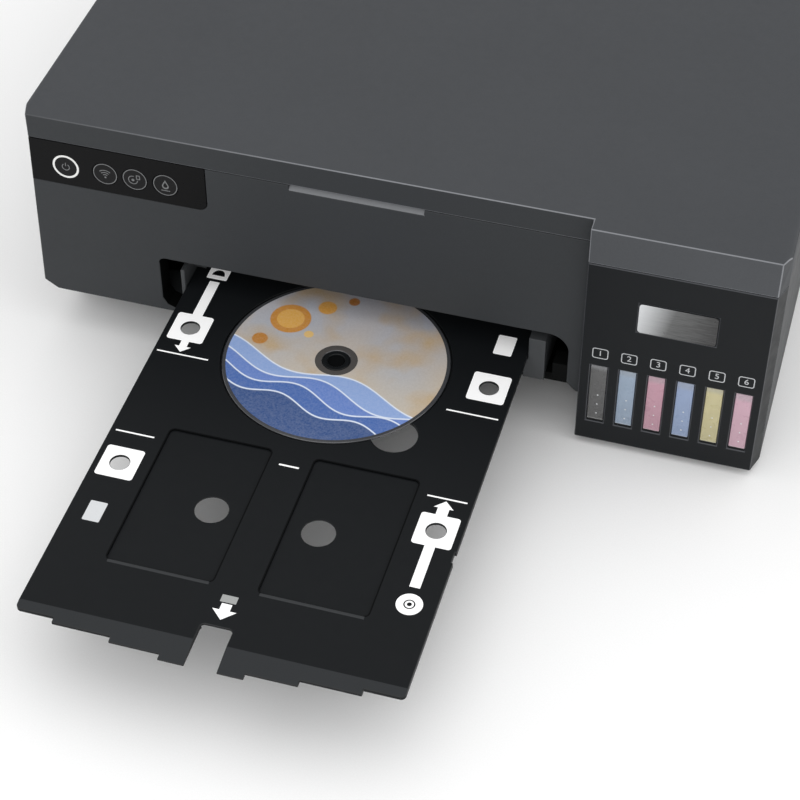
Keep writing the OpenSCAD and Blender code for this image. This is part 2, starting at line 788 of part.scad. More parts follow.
module tank_panel() {
    x0 = x_step;
    top = lid_tank_z - seam;
    color("#232425") difference() {
        union() {
            // Face, which turns the right corner
            intersection() {
                linear_extrude(top) front_skin(x0, x_right, y_front, wall, 1);
                along_y(y_front - 1, y_front + facet_d + 1)
                    translate([x0, tank_panel_z]) square([x_right - x0, top]);
            }
            block([x0, y_front + 1, tank_panel_z + 2], [x0 + wall - 1, y_main + 10, top]);
        }
        for (i = [0:tank_n - 1]) block([tank_x(i) - window_w / 2, y_front - 1, window_z],
            [tank_x(i) + window_w / 2, y_front + wall + 1, window_z + window_h]);
        // Seat of the badge plate
        badge_x = x0 + 27.5;
        block([badge_x, y_front - 1, badge_z],
            [badge_x + badge_w, y_front + badge_t / 2, badge_z + badge_h]);
    }
}

module badge_plate() {
    badge_x = x_step + 27.5;
    color("#b9bbbd") along_y(y_front - badge_t / 2, y_front + badge_t / 2 - 0.02)
        translate([badge_x + 0.1, badge_z + 0.1]) rounded([badge_w - 0.2, badge_h - 0.2], 2);
}

// One ink tank: a clear box with a window boss, a filler neck and two hinge ears
module ink_tank(i) {
    x = tank_x(i);
    w = tank_w / 2;
    neck_y = tank_y1 - 22;
    color("#c9cdd0") difference() {
        union() {
            block([x - w, tank_y0, tank_z0], [x + w, tank_y1, tank_z1]);
            block([x - window_w / 2 + 0.2, y_front + 1.2, window_z + 0.2],
                [x + window_w / 2 - 0.2, tank_y0 + EPS, window_z + window_h - 0.2]);
            translate([x, neck_y, tank_z1 - EPS]) cylinder(h = 3, r = neck_r);
            for (s = [-1, 1]) block([x + s * (w - 1) - 1, cap_hinge_y - 3, tank_z1 - EPS],
                [x + s * (w - 1) + 1, cap_hinge_y + 3, cap_hinge_z + 2.5]);
        }
        block([x - w + tank_wall, tank_y0 + tank_wall, tank_z0 + tank_wall],
            [x + w - tank_wall, tank_y1 - tank_wall, tank_z1 - tank_wall]);
        translate([x, neck_y, tank_z1 - 5]) cylinder(h = 20, r = filler_r);
        bar_x(x - w - 1, x + w + 1, cap_hinge_y, cap_hinge_z, cap_pin_r + fit);
    }
}

module tank_inks() {
    for (i = [0:tank_n - 1]) color(INK_COLOR[i]) {
        x = tank_x(i);
        w = tank_w / 2 - tank_wall;
        block([x - w, tank_y0 + tank_wall, tank_z0 + tank_wall],
            [x + w, tank_y1 - tank_wall, INK_LEVEL[i] - 10]);
    }
}

// One tank cap, with the plug that closes the filler and its hinge pin
module tank_cap(i) {
    x = tank_x(i);
    w = tank_w / 2 - 2.4;
    neck_y = tank_y1 - 22;
    z0 = tank_z1 + 3.3;
    color(INK_COLOR[i]) union() {
        block([x - w, cap_hinge_y - cap_len, z0], [x + w, cap_hinge_y, z0 + cap_t]);
        bar_x(x - w, x + w, cap_hinge_y, cap_hinge_z, 2.6);
        bar_x(x - w - 2, x + w + 2, cap_hinge_y, cap_hinge_z, cap_pin_r);
        translate([x, neck_y, z0 - 2.5]) cylinder(h = 3, r = filler_r - 0.6);
    }
}

module ink_tank_1() { ink_tank(0); }
module ink_tank_2() { ink_tank(1); }
module ink_tank_3() { ink_tank(2); }
module ink_tank_4() { ink_tank(3); }
module ink_tank_5() { ink_tank(4); }
module ink_tank_6() { ink_tank(5); }
module tank_cap_1() { tank_cap(0); }
module tank_cap_2() { tank_cap(1); }
module tank_cap_3() { tank_cap(2); }
module tank_cap_4() { tank_cap(3); }
module tank_cap_5() { tank_cap(4); }
module tank_cap_6() { tank_cap(5); }

// Outline of the tray, seen from above, with its stepped end and hand notch
module tray_outline() {
    h = tray_w / 2;
    r = 2.5;
    difference() {
        union() {
            translate([path_x - h, y_end + 3 * lip_step]) rounded([tray_w, tray_len - 3 * lip_step], r);
            // The end steps out towards its middle
            for (i = [0:2]) {
                half = h * [0.22, 0.485, 0.795][i];
                translate([path_x - half, y_end + i * lip_step]) square([2 * half, 4 * lip_step]);
            }
        }
        translate([path_x - notch_w / 2, y_end - 1]) square([notch_w, notch_l - notch_w / 4 + 1]);
        translate([path_x - notch_w / 2, y_end + notch_l - notch_w / 2])
            rounded([notch_w, notch_w / 2], 2.5);
        // Edge notch at the right
        translate([path_x + h - 1, disc_y - 118]) square([2, 7]);
    }
}

// A hole through the tray, which widens towards the underside
module tray_hole(x, y, r) {
    translate([x, y, path_z - hole_land - EPS]) cylinder(h = tray_t, r = r);
    translate([x, y, tray_z0 - EPS])
        cylinder(h = tray_t - hole_land + EPS, r1 = r + hole_flare, r2 = r);
}

module disc_tray() {
    bevel = atan((tray_t - lip_edge) / lip_len);
    recess = disc_t + 0.05;
    notch_y = y_end + notch_l;
    color("#26282a") union() {
        difference() {
            translate([0, 0, tray_z0]) linear_extrude(tray_t) tray_outline();
            // Sloped lip
            translate([path_x - tray_w, y_end + lip_len, path_z]) rotate([bevel, 0, 0])
                translate([0, -40, 0]) cube([2 * tray_w, 40, 10]);
            // Disc pocket
            translate([path_x, disc_y, path_z - recess]) difference() {
                cylinder(h = tray_t, r = disc_r + disc_gap + 0.7, $fn = 128);
                translate([0, 0, -1]) cylinder(h = tray_t + 2, r = hub_r);
            }
            // Card pockets with their push-out holes
            for (s = [-1, 1]) {
                translate([path_x + s * card_x, disc_y - card_y, path_z - card_depth])
                    linear_extrude(tray_t) translate([-card_w / 2, -card_l / 2])
                        rounded([card_w, card_l], 3);
                tray_hole(path_x + s * (card_x - 11), disc_y - card_y - 1, push_hole_r);
                // Sensing holes in the four printed squares
                for (y = [-100.4, 2.1]) tray_hole(path_x + s * 82.1, disc_y + y, mark_hole_r);
            }
            // Finger hole at the disc's edge
            tray_hole(path_x + 44.4, disc_y - 43.8, finger_hole_r);
            // Slant under the hand notch
            along_x(path_x - notch_w / 2, path_x + notch_w / 2) polygon([
                [notch_y - 1, tray_z0 - 1], [notch_y + tray_t - hole_land + 1, tray_z0 - 1],
                [notch_y, path_z - hole_land], [notch_y - 1, path_z - hole_land]
            ]);
            // Hub bore, seen through the disc
            translate([path_x, disc_y, tray_z0 - 1]) cylinder(h = tray_t + 2, r = hub_r - 2.5);
        }
    }
}

module label_disc() {
    z0 = path_z - disc_t;
    color("#cfc9c0") translate([path_x, disc_y, z0]) difference() {
        cylinder(h = disc_t, r = disc_r, $fn = 128);
        translate([0, 0, -1]) cylinder(h = disc_t + 2, r = disc_hole_r);
    }
}

// Channels that hold the tray's edges inside the opening
module tray_guides() {
    y0 = y_main + 0.8;
    y1 = y_main + 42;
    top = path_z + 11.8;
    slot_w = 0.3;
    color("#4a4c4f") for (s = [-1, 1]) {
        edge = path_x + s * (tray_w / 2 + slot_w);
        outer = path_x + s * (tray_w / 2 + (s < 0 ? 2.6 : 9.3));
        inner = path_x + s * (tray_w / 2 - (s < 0 ? 5.5 : 2));
        foot = s < 0 ? skirt_z + wall : slot_z0;
        difference() {
            union() {
                block([min(inner, outer), y0, foot], [max(inner, outer), y1, top]);
                // The right guide's nose reaches down in front of the sill
                if (s > 0) block([inner, y0, skirt_z + 3], [outer, y_main + slot_lip - 0.2, slot_z0 + EPS]);
            }
            block([min(edge, path_x), y0 - 1, tray_z0 - slot_w],
                [max(edge, path_x), y1 + 1, path_z + slot_w]);
            // The lip over the tray's edge starts further in
            block([min(edge, path_x), y0 - 1, path_z], [max(edge, path_x), y0 + 17, top + 1]);
        }
    }
}

module output_tray() {
    color("#2e3032") difference() {
        union() {
            block([out_x0, y_main, out_z0], [out_x1, out_y1, out_z0 + out_t]);
            // Front edge with its pull
            block([out_x0, y_main, out_z0], [out_x1, y_main + wall, slot_z0 - 0.2]);
        }
        // Shallow bed for the paper
        block([out_x0 + 3, y_main + 6, out_z0 + 2], [out_x1 - 3, out_y1 + 1, slot_z1]);
        // Finger scoop under the front edge
        bar_y(path_x, y_main - 1, y_main + 1.6, out_z0, 2.4);
    }
}

// A gear blank with straight-flanked teeth, lying in the X-Y plane
module toothed(teeth, face) {
    rp = gear_m * teeth / 2;
    ra = rp + 0.85 * gear_m;
    rf = rp - 1.15 * gear_m;
    pitch = 360 / teeth;
    half = (gear_m * PI / 2 - backlash) / 2;
    flank = tan(20) * gear_m;
    a_top = (half - 0.85 * flank) / ra * 180 / PI;
    a_mid = half / rp * 180 / PI;
    a_root = (half + 0.9 * flank) / rf * 180 / PI;
    pts = [for (i = [0:teeth - 1]) let (c = i * pitch) each [
        [rf * cos(c - a_root), rf * sin(c - a_root)], [rp * cos(c - a_mid), rp * sin(c - a_mid)],
        [ra * cos(c - a_top), ra * sin(c - a_top)], [ra * cos(c + a_top), ra * sin(c + a_top)],
        [rp * cos(c + a_mid), rp * sin(c + a_mid)], [rf * cos(c + a_root), rf * sin(c + a_root)]
    ]];
    linear_extrude(face) polygon(pts);
}

// A gear with its axis along X, at y, z, turned so that a tooth points along the given angle
module gear_x_at(x, y, z, teeth, face, phase) {
    translate([x, y, z]) rotate([90, 0, 90]) rotate(phase) toothed(teeth, face);
}

module driven_roller(y, phase, cover) {
    union() {
        bar_x(gear_x - 1, mid_x + plate_t + 3, y, roller_z, shaft_r);
        for (x = cover) bar_x(x[0], x[1], y, roller_z, roller_r);
        gear_x_at(gear_x, y, roller_z, roller_teeth, gear_face, phase);
    }
}

module feed_roller() {
    color("#8d9094") driven_roller(feed_y, 0, [[path_x - 112, path_x + 112]]);
}

module eject_roller() {
    bands = [for (i = [-2:2]) [path_x + i * 40 - 9, path_x + i * 40 + 9]];
    color("#2f3032") driven_roller(eject_y, 180 / roller_teeth, bands);
}

module idler_gear() {
    color("#e6e4dc") difference() {
        gear_x_at(gear_x, idler_y, roller_z, idler_teeth, gear_face, 180 / idler_teeth);
        bar_x(gear_x - 1, gear_x + gear_face + 1, idler_y, roller_z, 2 + fit);
    }
}

module motor_pinion() {
    phase = pinion_angle + 180 + 180 / pinion_teeth;
    color("#b08d4a") difference() {
        gear_x_at(gear_x, pinion_y, pinion_z, pinion_teeth, gear_face, phase);
        bar_x(gear_x - 1, gear_x + gear_face + 1, pinion_y, pinion_z, 1.5 + fit);
    }
}

module feed_motor() {
    color("#7b7e81") union() {
        bar_x(frame_x0 + plate_t, frame_x0 + plate_t + 30, pinion_y, pinion_z, 14);
        bar_x(gear_x - 0.4, frame_x0 + plate_t + 1, pinion_y, pinion_z, 1.5);
        bar_x(frame_x0 + plate_t + 29, frame_x0 + plate_t + 33, pinion_y, pinion_z, 4);
    }
}

module pinch_rollers() {
    color("#3a3b3d") union() {
        bar_x(frame_x0 - 1, mid_x + plate_t + 1, feed_y, pinch_z, thin_shaft_r);
        for (i = [-2:2]) bar_x(path_x + i * 44 - 12, path_x + i * 44 + 12, feed_y, pinch_z, pinch_r);
    }
}

module star_wheels() {
    color("#c8cacc") union() {
        bar_x(frame_x0 - 1, mid_x + plate_t + 1, eject_y, star_z, thin_shaft_r);
        for (i = [-5:5]) gear_like(path_x + i * 20, eject_y, star_z);
    }
}

// A thin wheel with pointed teeth
module gear_like(x, y, z) {
    n = 18;
    pts = [for (i = [0:2 * n - 1]) let (r = i % 2 == 0 ? star_r : star_r - 0.9)
        [r * cos(i * 180 / n), r * sin(i * 180 / n)]];
    translate([x - 0.4, y, z]) rotate([90, 0, 90]) linear_extrude(0.8) polygon(pts);
    bar_x(x - 1.5, x + 1.5, y, z, 2.6);
}

module platen() {
    z1 = tray_z0 - 1;
    z0 = out_z0 + out_t + 0.6;
    color("#2a2b2d") union() {
        block([frame_x0 + plate_t, head_y0 - 1, z0], [mid_x, head_y1 + 1, z1 - 1.5]);
        for (i = [-5:5]) translate([path_x + i * 19, 0, 0])
            block([-0.8, head_y0, z1 - 1.6], [0.8, head_y1, z1]);
    }
}

module steel_frame() {
    y0 = eject_y - 8;
    y1 = rail_y + rail_d;
    clip_z = rail_z1 + 4.4;
    color("#a9adb0") difference() {
        union() {
            // Left plate, which carries the shafts
            block([frame_x0, y0, tub_floor], [frame_x0 + plate_t, y1, rail_z1]);
            // Right plate, behind the ink tanks
            block([frame_x1 - plate_t, carriage_y, tub_floor], [frame_x1, y1, rail_z1]);
            // Short plate at the right end of the rollers, joined to the rail behind the carriage
            block([mid_x, y0, tub_floor], [mid_x + plate_t, y1, head_z - 1]);
            block([mid_x, rail_y, head_z - 2], [mid_x + plate_t, y1, rail_z0 + EPS]);
            for (y = [eject_y, feed_y])
                block([mid_x, y - 3.5, head_z - 2], [mid_x + plate_t, y + 3.5, carriage_z - 1]);
            // Rail with its two flanges
            block([frame_x0, rail_y, rail_z0], [frame_x1, rail_y + plate_t, rail_z1]);
            block([frame_x0, rail_y, rail_z0], [frame_x1, y1, rail_z0 + plate_t]);
            block([frame_x0, rail_y, rail_z1 - plate_t], [frame_x1, y1, rail_z1]);
            // Clips under the ink tubes
            for (i = [1:3]) translate([frame_x1 - 50 * i, 0, 0])
                block([-6, y1 - 5, rail_z1 - EPS], [0, y1, clip_z]);
            // Pins of the idler gear and of the idler pulley
            bar_x(gear_x - 0.5, frame_x0 + EPS, idler_y, roller_z, 2);
            bar_y(pulley_x1, belt_y - 2.5, rail_y + EPS, belt_z, 2);
        }
        for (y = [eject_y, feed_y]) bar_x(frame_x0 - 1, mid_x + 10, y, roller_z, shaft_r + fit);
        bar_x(frame_x0 - 1, mid_x + 10, feed_y, pinch_z, thin_shaft_r + fit);
        bar_x(frame_x0 - 1, mid_x + 10, eject_y, star_z, thin_shaft_r + fit);
        bar_x(frame_x0 - 1, frame_x0 + 5, pinion_y, pinion_z, 1.5 + fit);
        bar_y(pulley_x0, rail_y - 5, rail_y + 5, belt_z, 2 + fit);
    }
}

module carriage() {
    x0 = park_x - carriage_w / 2;
    x1 = park_x + carriage_w / 2;
    y1 = carriage_y + carriage_d;
    z1 = carriage_z + carriage_h;
    run_z = belt_z - pulley_r - belt_t / 2;
    color("#1f2021") union() {
        difference() {
            block([x0, carriage_y, carriage_z], [x1, y1, z1]);
            block([x0 + 2, carriage_y + 2, carriage_z + 22], [x1 - 2, y1 - 2, z1 + 1]);
        }
        // Arm that rides on the rail
        block([x0 + 8, y1 - 2, rail_z1 + 0.3], [x1 - 8, rail_y + 3, rail_z1 + 4]);
        // Jaws that grip the belt's lower run
        for (z = [run_z + belt_t / 2 + 0.2, run_z - belt_t / 2 - 2.2])
            block([park_x - 9, y1 - EPS, z], [park_x + 9, belt_y + belt_w, z + 2]);
    }
}

module print_head() {
    color("#5b4a30") union() {
        block([park_x - 22, head_y0, head_z + 0.8], [park_x + 22, head_y1, carriage_z]);
        block([park_x - 18, head_y0 + 4, head_z], [park_x + 18, head_y1 - 4, head_z + 1]);
    }
}

// A flanged pulley with its axis along Y
module pulley(x) {
    difference() {
        union() {
            bar_y(x, belt_y - 0.3, belt_y + belt_w + 0.3, belt_z, pulley_r - 0.3);
            bar_y(x, belt_y - 1.3, belt_y - 0.3, belt_z, pulley_r + 1);
            bar_y(x, belt_y + belt_w + 0.3, belt_y + belt_w + 1.3, belt_z, pulley_r + 1);
        }
        bar_y(x, belt_y - 2, rail_y, belt_z, 2 + fit);
    }
}

module motor_pulley() { color("#c7b27a") pulley(pulley_x0); }
module idler_pulley() { color("#d9d7cf") pulley(pulley_x1); }

module carriage_motor() {
    color("#74777a") union() {
        bar_y(pulley_x0, rail_y + plate_t, rail_y + 34, belt_z, 15);
        bar_y(pulley_x0, belt_y - 2.5, rail_y + plate_t + EPS, belt_z, 2);
    }
}

module timing_belt() {
    r1 = pulley_r + belt_t;
    color("#161617") along_y(belt_y, belt_y + belt_w) difference() {
        belt_loop(r1);
        belt_loop(pulley_r);
    }
}

module belt_loop(r) {
    for (x = [pulley_x0, pulley_x1]) translate([x, belt_z]) circle(r);
    translate([pulley_x0, belt_z - r]) square([pulley_x1 - pulley_x0, 2 * r]);
}

module encoder_strip() {
    color("#b8bcc0") block([frame_x0 + plate_t, rail_y - 0.6, rail_z1 - 9],
        [frame_x1 - plate_t, rail_y - 0.4, rail_z1 - 3]);
}

// Six tubes side by side: from the tanks, along the back of the rail, and round to the carriage
module ink_tube_ribbon() {
    y_run = rail_y + rail_d - 3.4;
    z0 = rail_z1 + 4.4;
    h = 12;
    bend = 9;
    x_bend = frame_x1 - 14;
    t = 2.4;
    color("#303234") union() {
        block([x_bend - 150, y_run, z0], [x_bend, y_run + t, z0 + h]);
        translate([x_bend, y_run - bend + t, z0]) difference() {
            cylinder(h = h, r = bend);
            translate([0, 0, -1]) cylinder(h = h + 2, r = bend - t);
            translate([-bend - 1, -bend - 1, -1]) cube([bend + 1, 2 * bend + 2, h + 2]);
        }
        block([park_x + 20, y_run - 2 * bend + t, z0], [x_bend, y_run - 2 * bend + 2 * t, z0 + h]);
    }
}

module capping_station() {
    z1 = head_z - 0.5;
    color("#3f4143") union() {
        block([park_x - 30, head_y0 - 2, tub_floor], [park_x + 30, head_y1 + 2, z1 - 6]);
        difference() {
            block([park_x - 20, head_y0 + 2, z1 - 6.1], [park_x + 20, head_y1 - 2, z1]);
            block([park_x - 18, head_y0 + 4, z1 - 4], [park_x + 18, head_y1 - 4, z1 + 1]);
        }
        // Wiper blade
        block([park_x - 27, head_y0 + 4, z1 - 6.1], [park_x - 26, head_y1 - 4, z1]);
    }
}

module waste_ink_pad() {
    color("#d8d4c8") block([mid_x + 14, rail_y + 14, tub_floor],
        [frame_x1 - 6, rail_y + 84, tub_floor + 17]);
}

module main_board() {
    x0 = mid_x + 3;
    y0 = rail_y + 24;
    color("#2d5a3c") union() {
        block([x0, y0, tub_floor], [x0 + 1.6, y0 + 88, tub_floor + 64]);
        for (p = [[14, 30, 20, 14], [44, 34, 14, 14], [66, 20, 12, 8], [12, 52, 30, 6]])
            translate([x0 + 1.59, y0 + p[0], tub_floor + p[1]]) cube([3.41, p[2], p[3]]);
    }
}

module power_supply() {
    color("#9a9da0") block([mid_x + 12, y_back - supply_back - supply_d, tub_floor],
        [frame_x1 - 4, y_back - supply_back, tub_floor + supply_h]);
}

// Power inlet with two pins, and the data socket beside it
module power_inlet() {
    color("#1a1a1b") union() {
        difference() {
            block([inlet_x - 11.8, y_back - 25.9, inlet_z - 7.8],
                [inlet_x + 11.8, y_back - 0.2, inlet_z + 7.8]);
            along_y(y_back - 16, y_back + 1) translate([inlet_x, inlet_z]) inlet_outline(4.2);
        }
        for (s = [-1, 1]) bar_y(inlet_x + s * 3.3, y_back - 17, y_back - 4, inlet_z, 1.2);
    }
    color("#8f9396") difference() {
        block([inlet_x - 51.8, y_back - 25.9, inlet_z - 5.8],
            [inlet_x - 38.2, y_back - 0.2, inlet_z + 5.8]);
        block([inlet_x - 50.5, y_back - 16, inlet_z - 4.5], [inlet_x - 39.5, y_back + 1, inlet_z + 4.5]);
    }
}

module inlet_outline(r) {
    for (s = [-1, 1]) translate([s * 4.2, 0]) circle(r);
    translate([-4.2, -r]) square([8.4, 2 * r]);
}

// Frame of the paper feeder: cheeks, sloped bed and the guide over the tray's way
module feeder_frame() {
    z_under = path_z + 5;
    color("#2c2e30") union() {
        for (x = [feeder_x0 - 3, feeder_x1]) difference() {
            along_x(x, x + 3) polygon([
                [slope_foot_y - 26, tub_floor], [y_back - wall - 20, tub_floor],
                [y_back - wall - 20, lid_z - 24], [slope_foot_y - 26, slope_foot_z + 40]
            ]);
            bar_x(x - 1, x + 4, pickup_y, pickup_z, 3 + fit);
        }
        // Sloped bed
        translate([0, slope_foot_y, slope_foot_z]) rotate([slope, 0, 0])
            block([feeder_x0 - EPS, 0, -3], [feeder_x1 + EPS, slope_len, 0]);
        // Guide that leads the sheet forward to the feed roller
        along_x(feeder_x0 - EPS, feeder_x1 + EPS) polygon([
            [feed_y + pinch_r + 9, z_under], [slope_foot_y + 4, z_under],
            [slope_foot_y + 4, slope_foot_z], [slope_foot_y - 3, slope_foot_z - 1],
            [feed_y + pinch_r + 9, z_under + 1.5]
        ]);
    }
}

module pickup_roller() {
    color("#303133") union() {
        bar_x(feeder_x0 - 4, feeder_x1 + 4, pickup_y, pickup_z, 3);
        for (s = [-1, 1]) bar_x(path_x + s * 28 - 12, path_x + s * 28 + 12, pickup_y, pickup_z, pickup_r);
    }
}

// One edge guide, standing on the sloped bed
module edge_guide(side) {
    x = path_x + side * (paper_half + 2);
    y1 = slope_len - guide_top;
    color("#55585b") translate([x, slope_foot_y, slope_foot_z]) rotate([slope, 0, 0]) union() {
        block([min(0, side * 2.5), y1 - guide_l, 0.3], [max(0, side * 2.5), y1, guide_h]);
        block([min(0, -side * 14), y1 - 34, 0.3], [max(0, -side * 14), y1 - 14, 2]);
    }
}

module edge_guide_left() { edge_guide(-1); }
module edge_guide_right() { edge_guide(1); }

// Screws that hold the rear cover
module cover_screws() {
    color("#6f7275") for (x = screw_x, z = screw_z) union() {
        bar_y(x, y_back - 11, y_back - 1.15, z, screw_r);
        bar_y(x, y_back - 1.15, y_back - 0.1, z, 2 * screw_r);
    }
}

base_tub();
rubber_feet();
front_cover();
left_side_cover();
right_side_cover();
rear_cover();
rear_top_cover();
printer_lid();
control_panel();
power_button();
network_button();
disc_button();
cleaning_button();
tank_panel();
badge_plate();
ink_tank_1();
ink_tank_2();
ink_tank_3();
ink_tank_4();
ink_tank_5();
ink_tank_6();
tank_inks();
tank_cap_1();
tank_cap_2();
tank_cap_3();
tank_cap_4();
tank_cap_5();
tank_cap_6();
disc_tray();
label_disc();
tray_guides();
output_tray();
steel_frame();
feed_roller();
eject_roller();
pinch_rollers();
star_wheels();
idler_gear();
feed_motor();
motor_pinion();
platen();
carriage();
print_head();
carriage_motor();
motor_pulley();
idler_pulley();
timing_belt();
encoder_strip();
ink_tube_ribbon();
capping_station();
waste_ink_pad();
main_board();
power_supply();
power_inlet();
feeder_frame();
paper_support();
edge_guide_left();
edge_guide_right();
pickup_roller();
cover_screws();
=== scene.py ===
"""Disc label printer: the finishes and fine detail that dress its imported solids.

Sizes are in millimetres unless a name says otherwise; meshes are in metres.
"""

import json
import logging
import math
from dataclasses import dataclass
from enum import Enum
from typing import Any, Sequence

import bmesh
import bpy
from mathutils import Matrix, Vector


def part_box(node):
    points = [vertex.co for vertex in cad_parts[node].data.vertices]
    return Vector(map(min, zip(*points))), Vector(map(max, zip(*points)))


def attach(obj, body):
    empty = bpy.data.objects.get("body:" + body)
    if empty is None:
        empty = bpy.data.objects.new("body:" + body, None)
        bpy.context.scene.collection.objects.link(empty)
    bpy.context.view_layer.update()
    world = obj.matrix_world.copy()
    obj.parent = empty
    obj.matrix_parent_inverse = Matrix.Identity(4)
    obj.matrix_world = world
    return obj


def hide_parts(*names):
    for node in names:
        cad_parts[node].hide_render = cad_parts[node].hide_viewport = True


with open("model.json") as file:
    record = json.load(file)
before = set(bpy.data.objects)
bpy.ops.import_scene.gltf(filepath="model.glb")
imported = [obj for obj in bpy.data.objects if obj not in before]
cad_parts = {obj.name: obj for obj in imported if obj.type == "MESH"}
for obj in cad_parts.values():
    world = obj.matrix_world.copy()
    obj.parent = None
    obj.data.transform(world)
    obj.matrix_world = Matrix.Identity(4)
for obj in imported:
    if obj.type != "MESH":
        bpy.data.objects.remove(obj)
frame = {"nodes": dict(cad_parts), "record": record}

LOG = logging.getLogger("disc_label_printer")
MM = 0.001
Pair = tuple[float, float]
Loop = list[Pair]
Triple = tuple[float, float, float]
Region = tuple[Triple, Triple]
Colour = tuple[float, float, float, float]
Tree = bpy.types.NodeTree
Socket = bpy.types.NodeSocket
Node = bpy.types.Node
Mesh = bpy.types.Mesh
Object = bpy.types.Object
# Kinds of node that are used most
MATH, VECTOR, RANGE = "ShaderNodeMath", "ShaderNodeVectorMath", "ShaderNodeMapRange"

NODES = frame["nodes"]
BODY_OF = {n: b for b, ns in frame["record"]["behaviour"]["bodies"].items() for n in ns}


# ---------------------------------------------------------------- node helpers


def linear(code: str, gain: float = 1.0) -> Colour:
    """Turns an sRGB hex colour to linear light.

    Args:
        code: Colour as "#rrggbb".
        gain: Factor on the linear values.

    Returns:
        Red, green, blue and an alpha of one.
    """
    parts = [int(code[i : i + 2], 16) / 255 for i in (1, 3, 5)]
    light = [c / 12.92 if c <= 0.04045 else ((c + 0.055) / 1.055) ** 2.4 for c in parts]
    return (*(min(1.0, c * gain) for c in light), 1.0)


def feed(tree: Tree, node: Node, inputs: dict[Any, Any]) -> None:
    """Sets a node's inputs, by name or number, to plain values or links them to sockets.

    Args:
        tree: Tree that holds the node.
        node: Node to feed.
        inputs: Plain values and sockets, by input name or number.
    """
    for key, value in inputs.items():
        if isinstance(value, Socket):
            tree.links.new(value, node.inputs[key])
        else:
            node.inputs[key].default_value = value


def add(tree: Tree, kind: str, inputs: dict[Any, Any] | None = None, **settings: Any) -> Node:
    """Adds one node to a tree.

    Args:
        tree: Tree that gets the node.
        kind: Type name of the node.
        inputs: Plain values and sockets, by input name or number.
        **settings: Attributes of the node, set first.

    Returns:
        The new node.
    """
    node = tree.nodes.new(kind)
    for key, value in settings.items():
        setattr(node, key, value)
    feed(tree, node, inputs or {})
    return node


def grain(
    tree: Tree,
    size: float,
    detail: float = 2.0,
    stretch: Triple = (1.0, 1.0, 1.0),
    reach: Pair | None = None,
) -> Socket:
    """Noise with features of a real size.

    Args:
        tree: Tree that gets the nodes.
        size: Size of one feature.
        detail: Octaves of finer detail.
        stretch: How much longer a feature is along X, Y and Z.
        reach: Values that the noise is spread over, if not its own.

    Returns:
        The noise value, from zero to one or over the reach.
    """
    where = add(tree, "ShaderNodeTexCoord").outputs["Object"]
    inputs = {"Vector": where, "Scale": tuple(1 / s for s in stretch)}
    place = add(tree, "ShaderNodeMapping", inputs).outputs["Vector"]
    inputs = {"Vector": place, "Scale": 1 / (size * MM), "Detail": detail}
    noise = add(tree, "ShaderNodeTexNoise", inputs).outputs["Fac"]
    return spread(tree, noise, *reach) if reach else noise


def spread(tree: Tree, noise: Socket, low: float, high: float) -> Socket:
    """Noise spread over a range; nearly all of it lies from 0.3 to 0.7 before."""
    inputs = {"Value": noise, "From Min": 0.3, "From Max": 0.7, "To Min": low, "To Max": high}
    return add(tree, RANGE, inputs).outputs["Result"]


def laid(tree: Tree, ground: Colour | Socket, *coats: tuple[Socket, Colour | Socket]) -> Socket:
    """Lays coats of colour over a ground.

    Args:
        tree: Tree that gets the nodes.
        ground: Colour of the ground.
        *coats: Cover, from zero to one, and colour of each coat, in order.

    Returns:
        The colour that shows.
    """
    for cover, colour in coats:
        inputs = {0: cover, 6: ground, 7: colour}
        ground = add(tree, "ShaderNodeMix", inputs, data_type="RGBA").outputs[2]
    return ground


def axes(tree: Tree, centre: Triple = (0.0, 0.0, 0.0)) -> tuple[Socket, Any]:
    """Place of the surface's point from a centre, in millimetres.

    Args:
        tree: Tree that gets the nodes.
        centre: X, Y and Z of the centre.

    Returns:
        The place, and its X, Y and Z by name.
    """
    where = add(tree, "ShaderNodeTexCoord").outputs["Object"]
    inputs = {0: where, 1: tuple(-c * MM for c in centre)}
    shift = add(tree, VECTOR, inputs, operation="ADD").outputs[0]
    own = add(tree, VECTOR, {0: shift, "Scale": 1 / MM}, operation="SCALE").outputs[0]
    return own, add(tree, "ShaderNodeSeparateXYZ", {"Vector": own}).outputs


# -------------------------------------------------------------------- finishes

_MADE: dict[str, bpy.types.Material] = {}


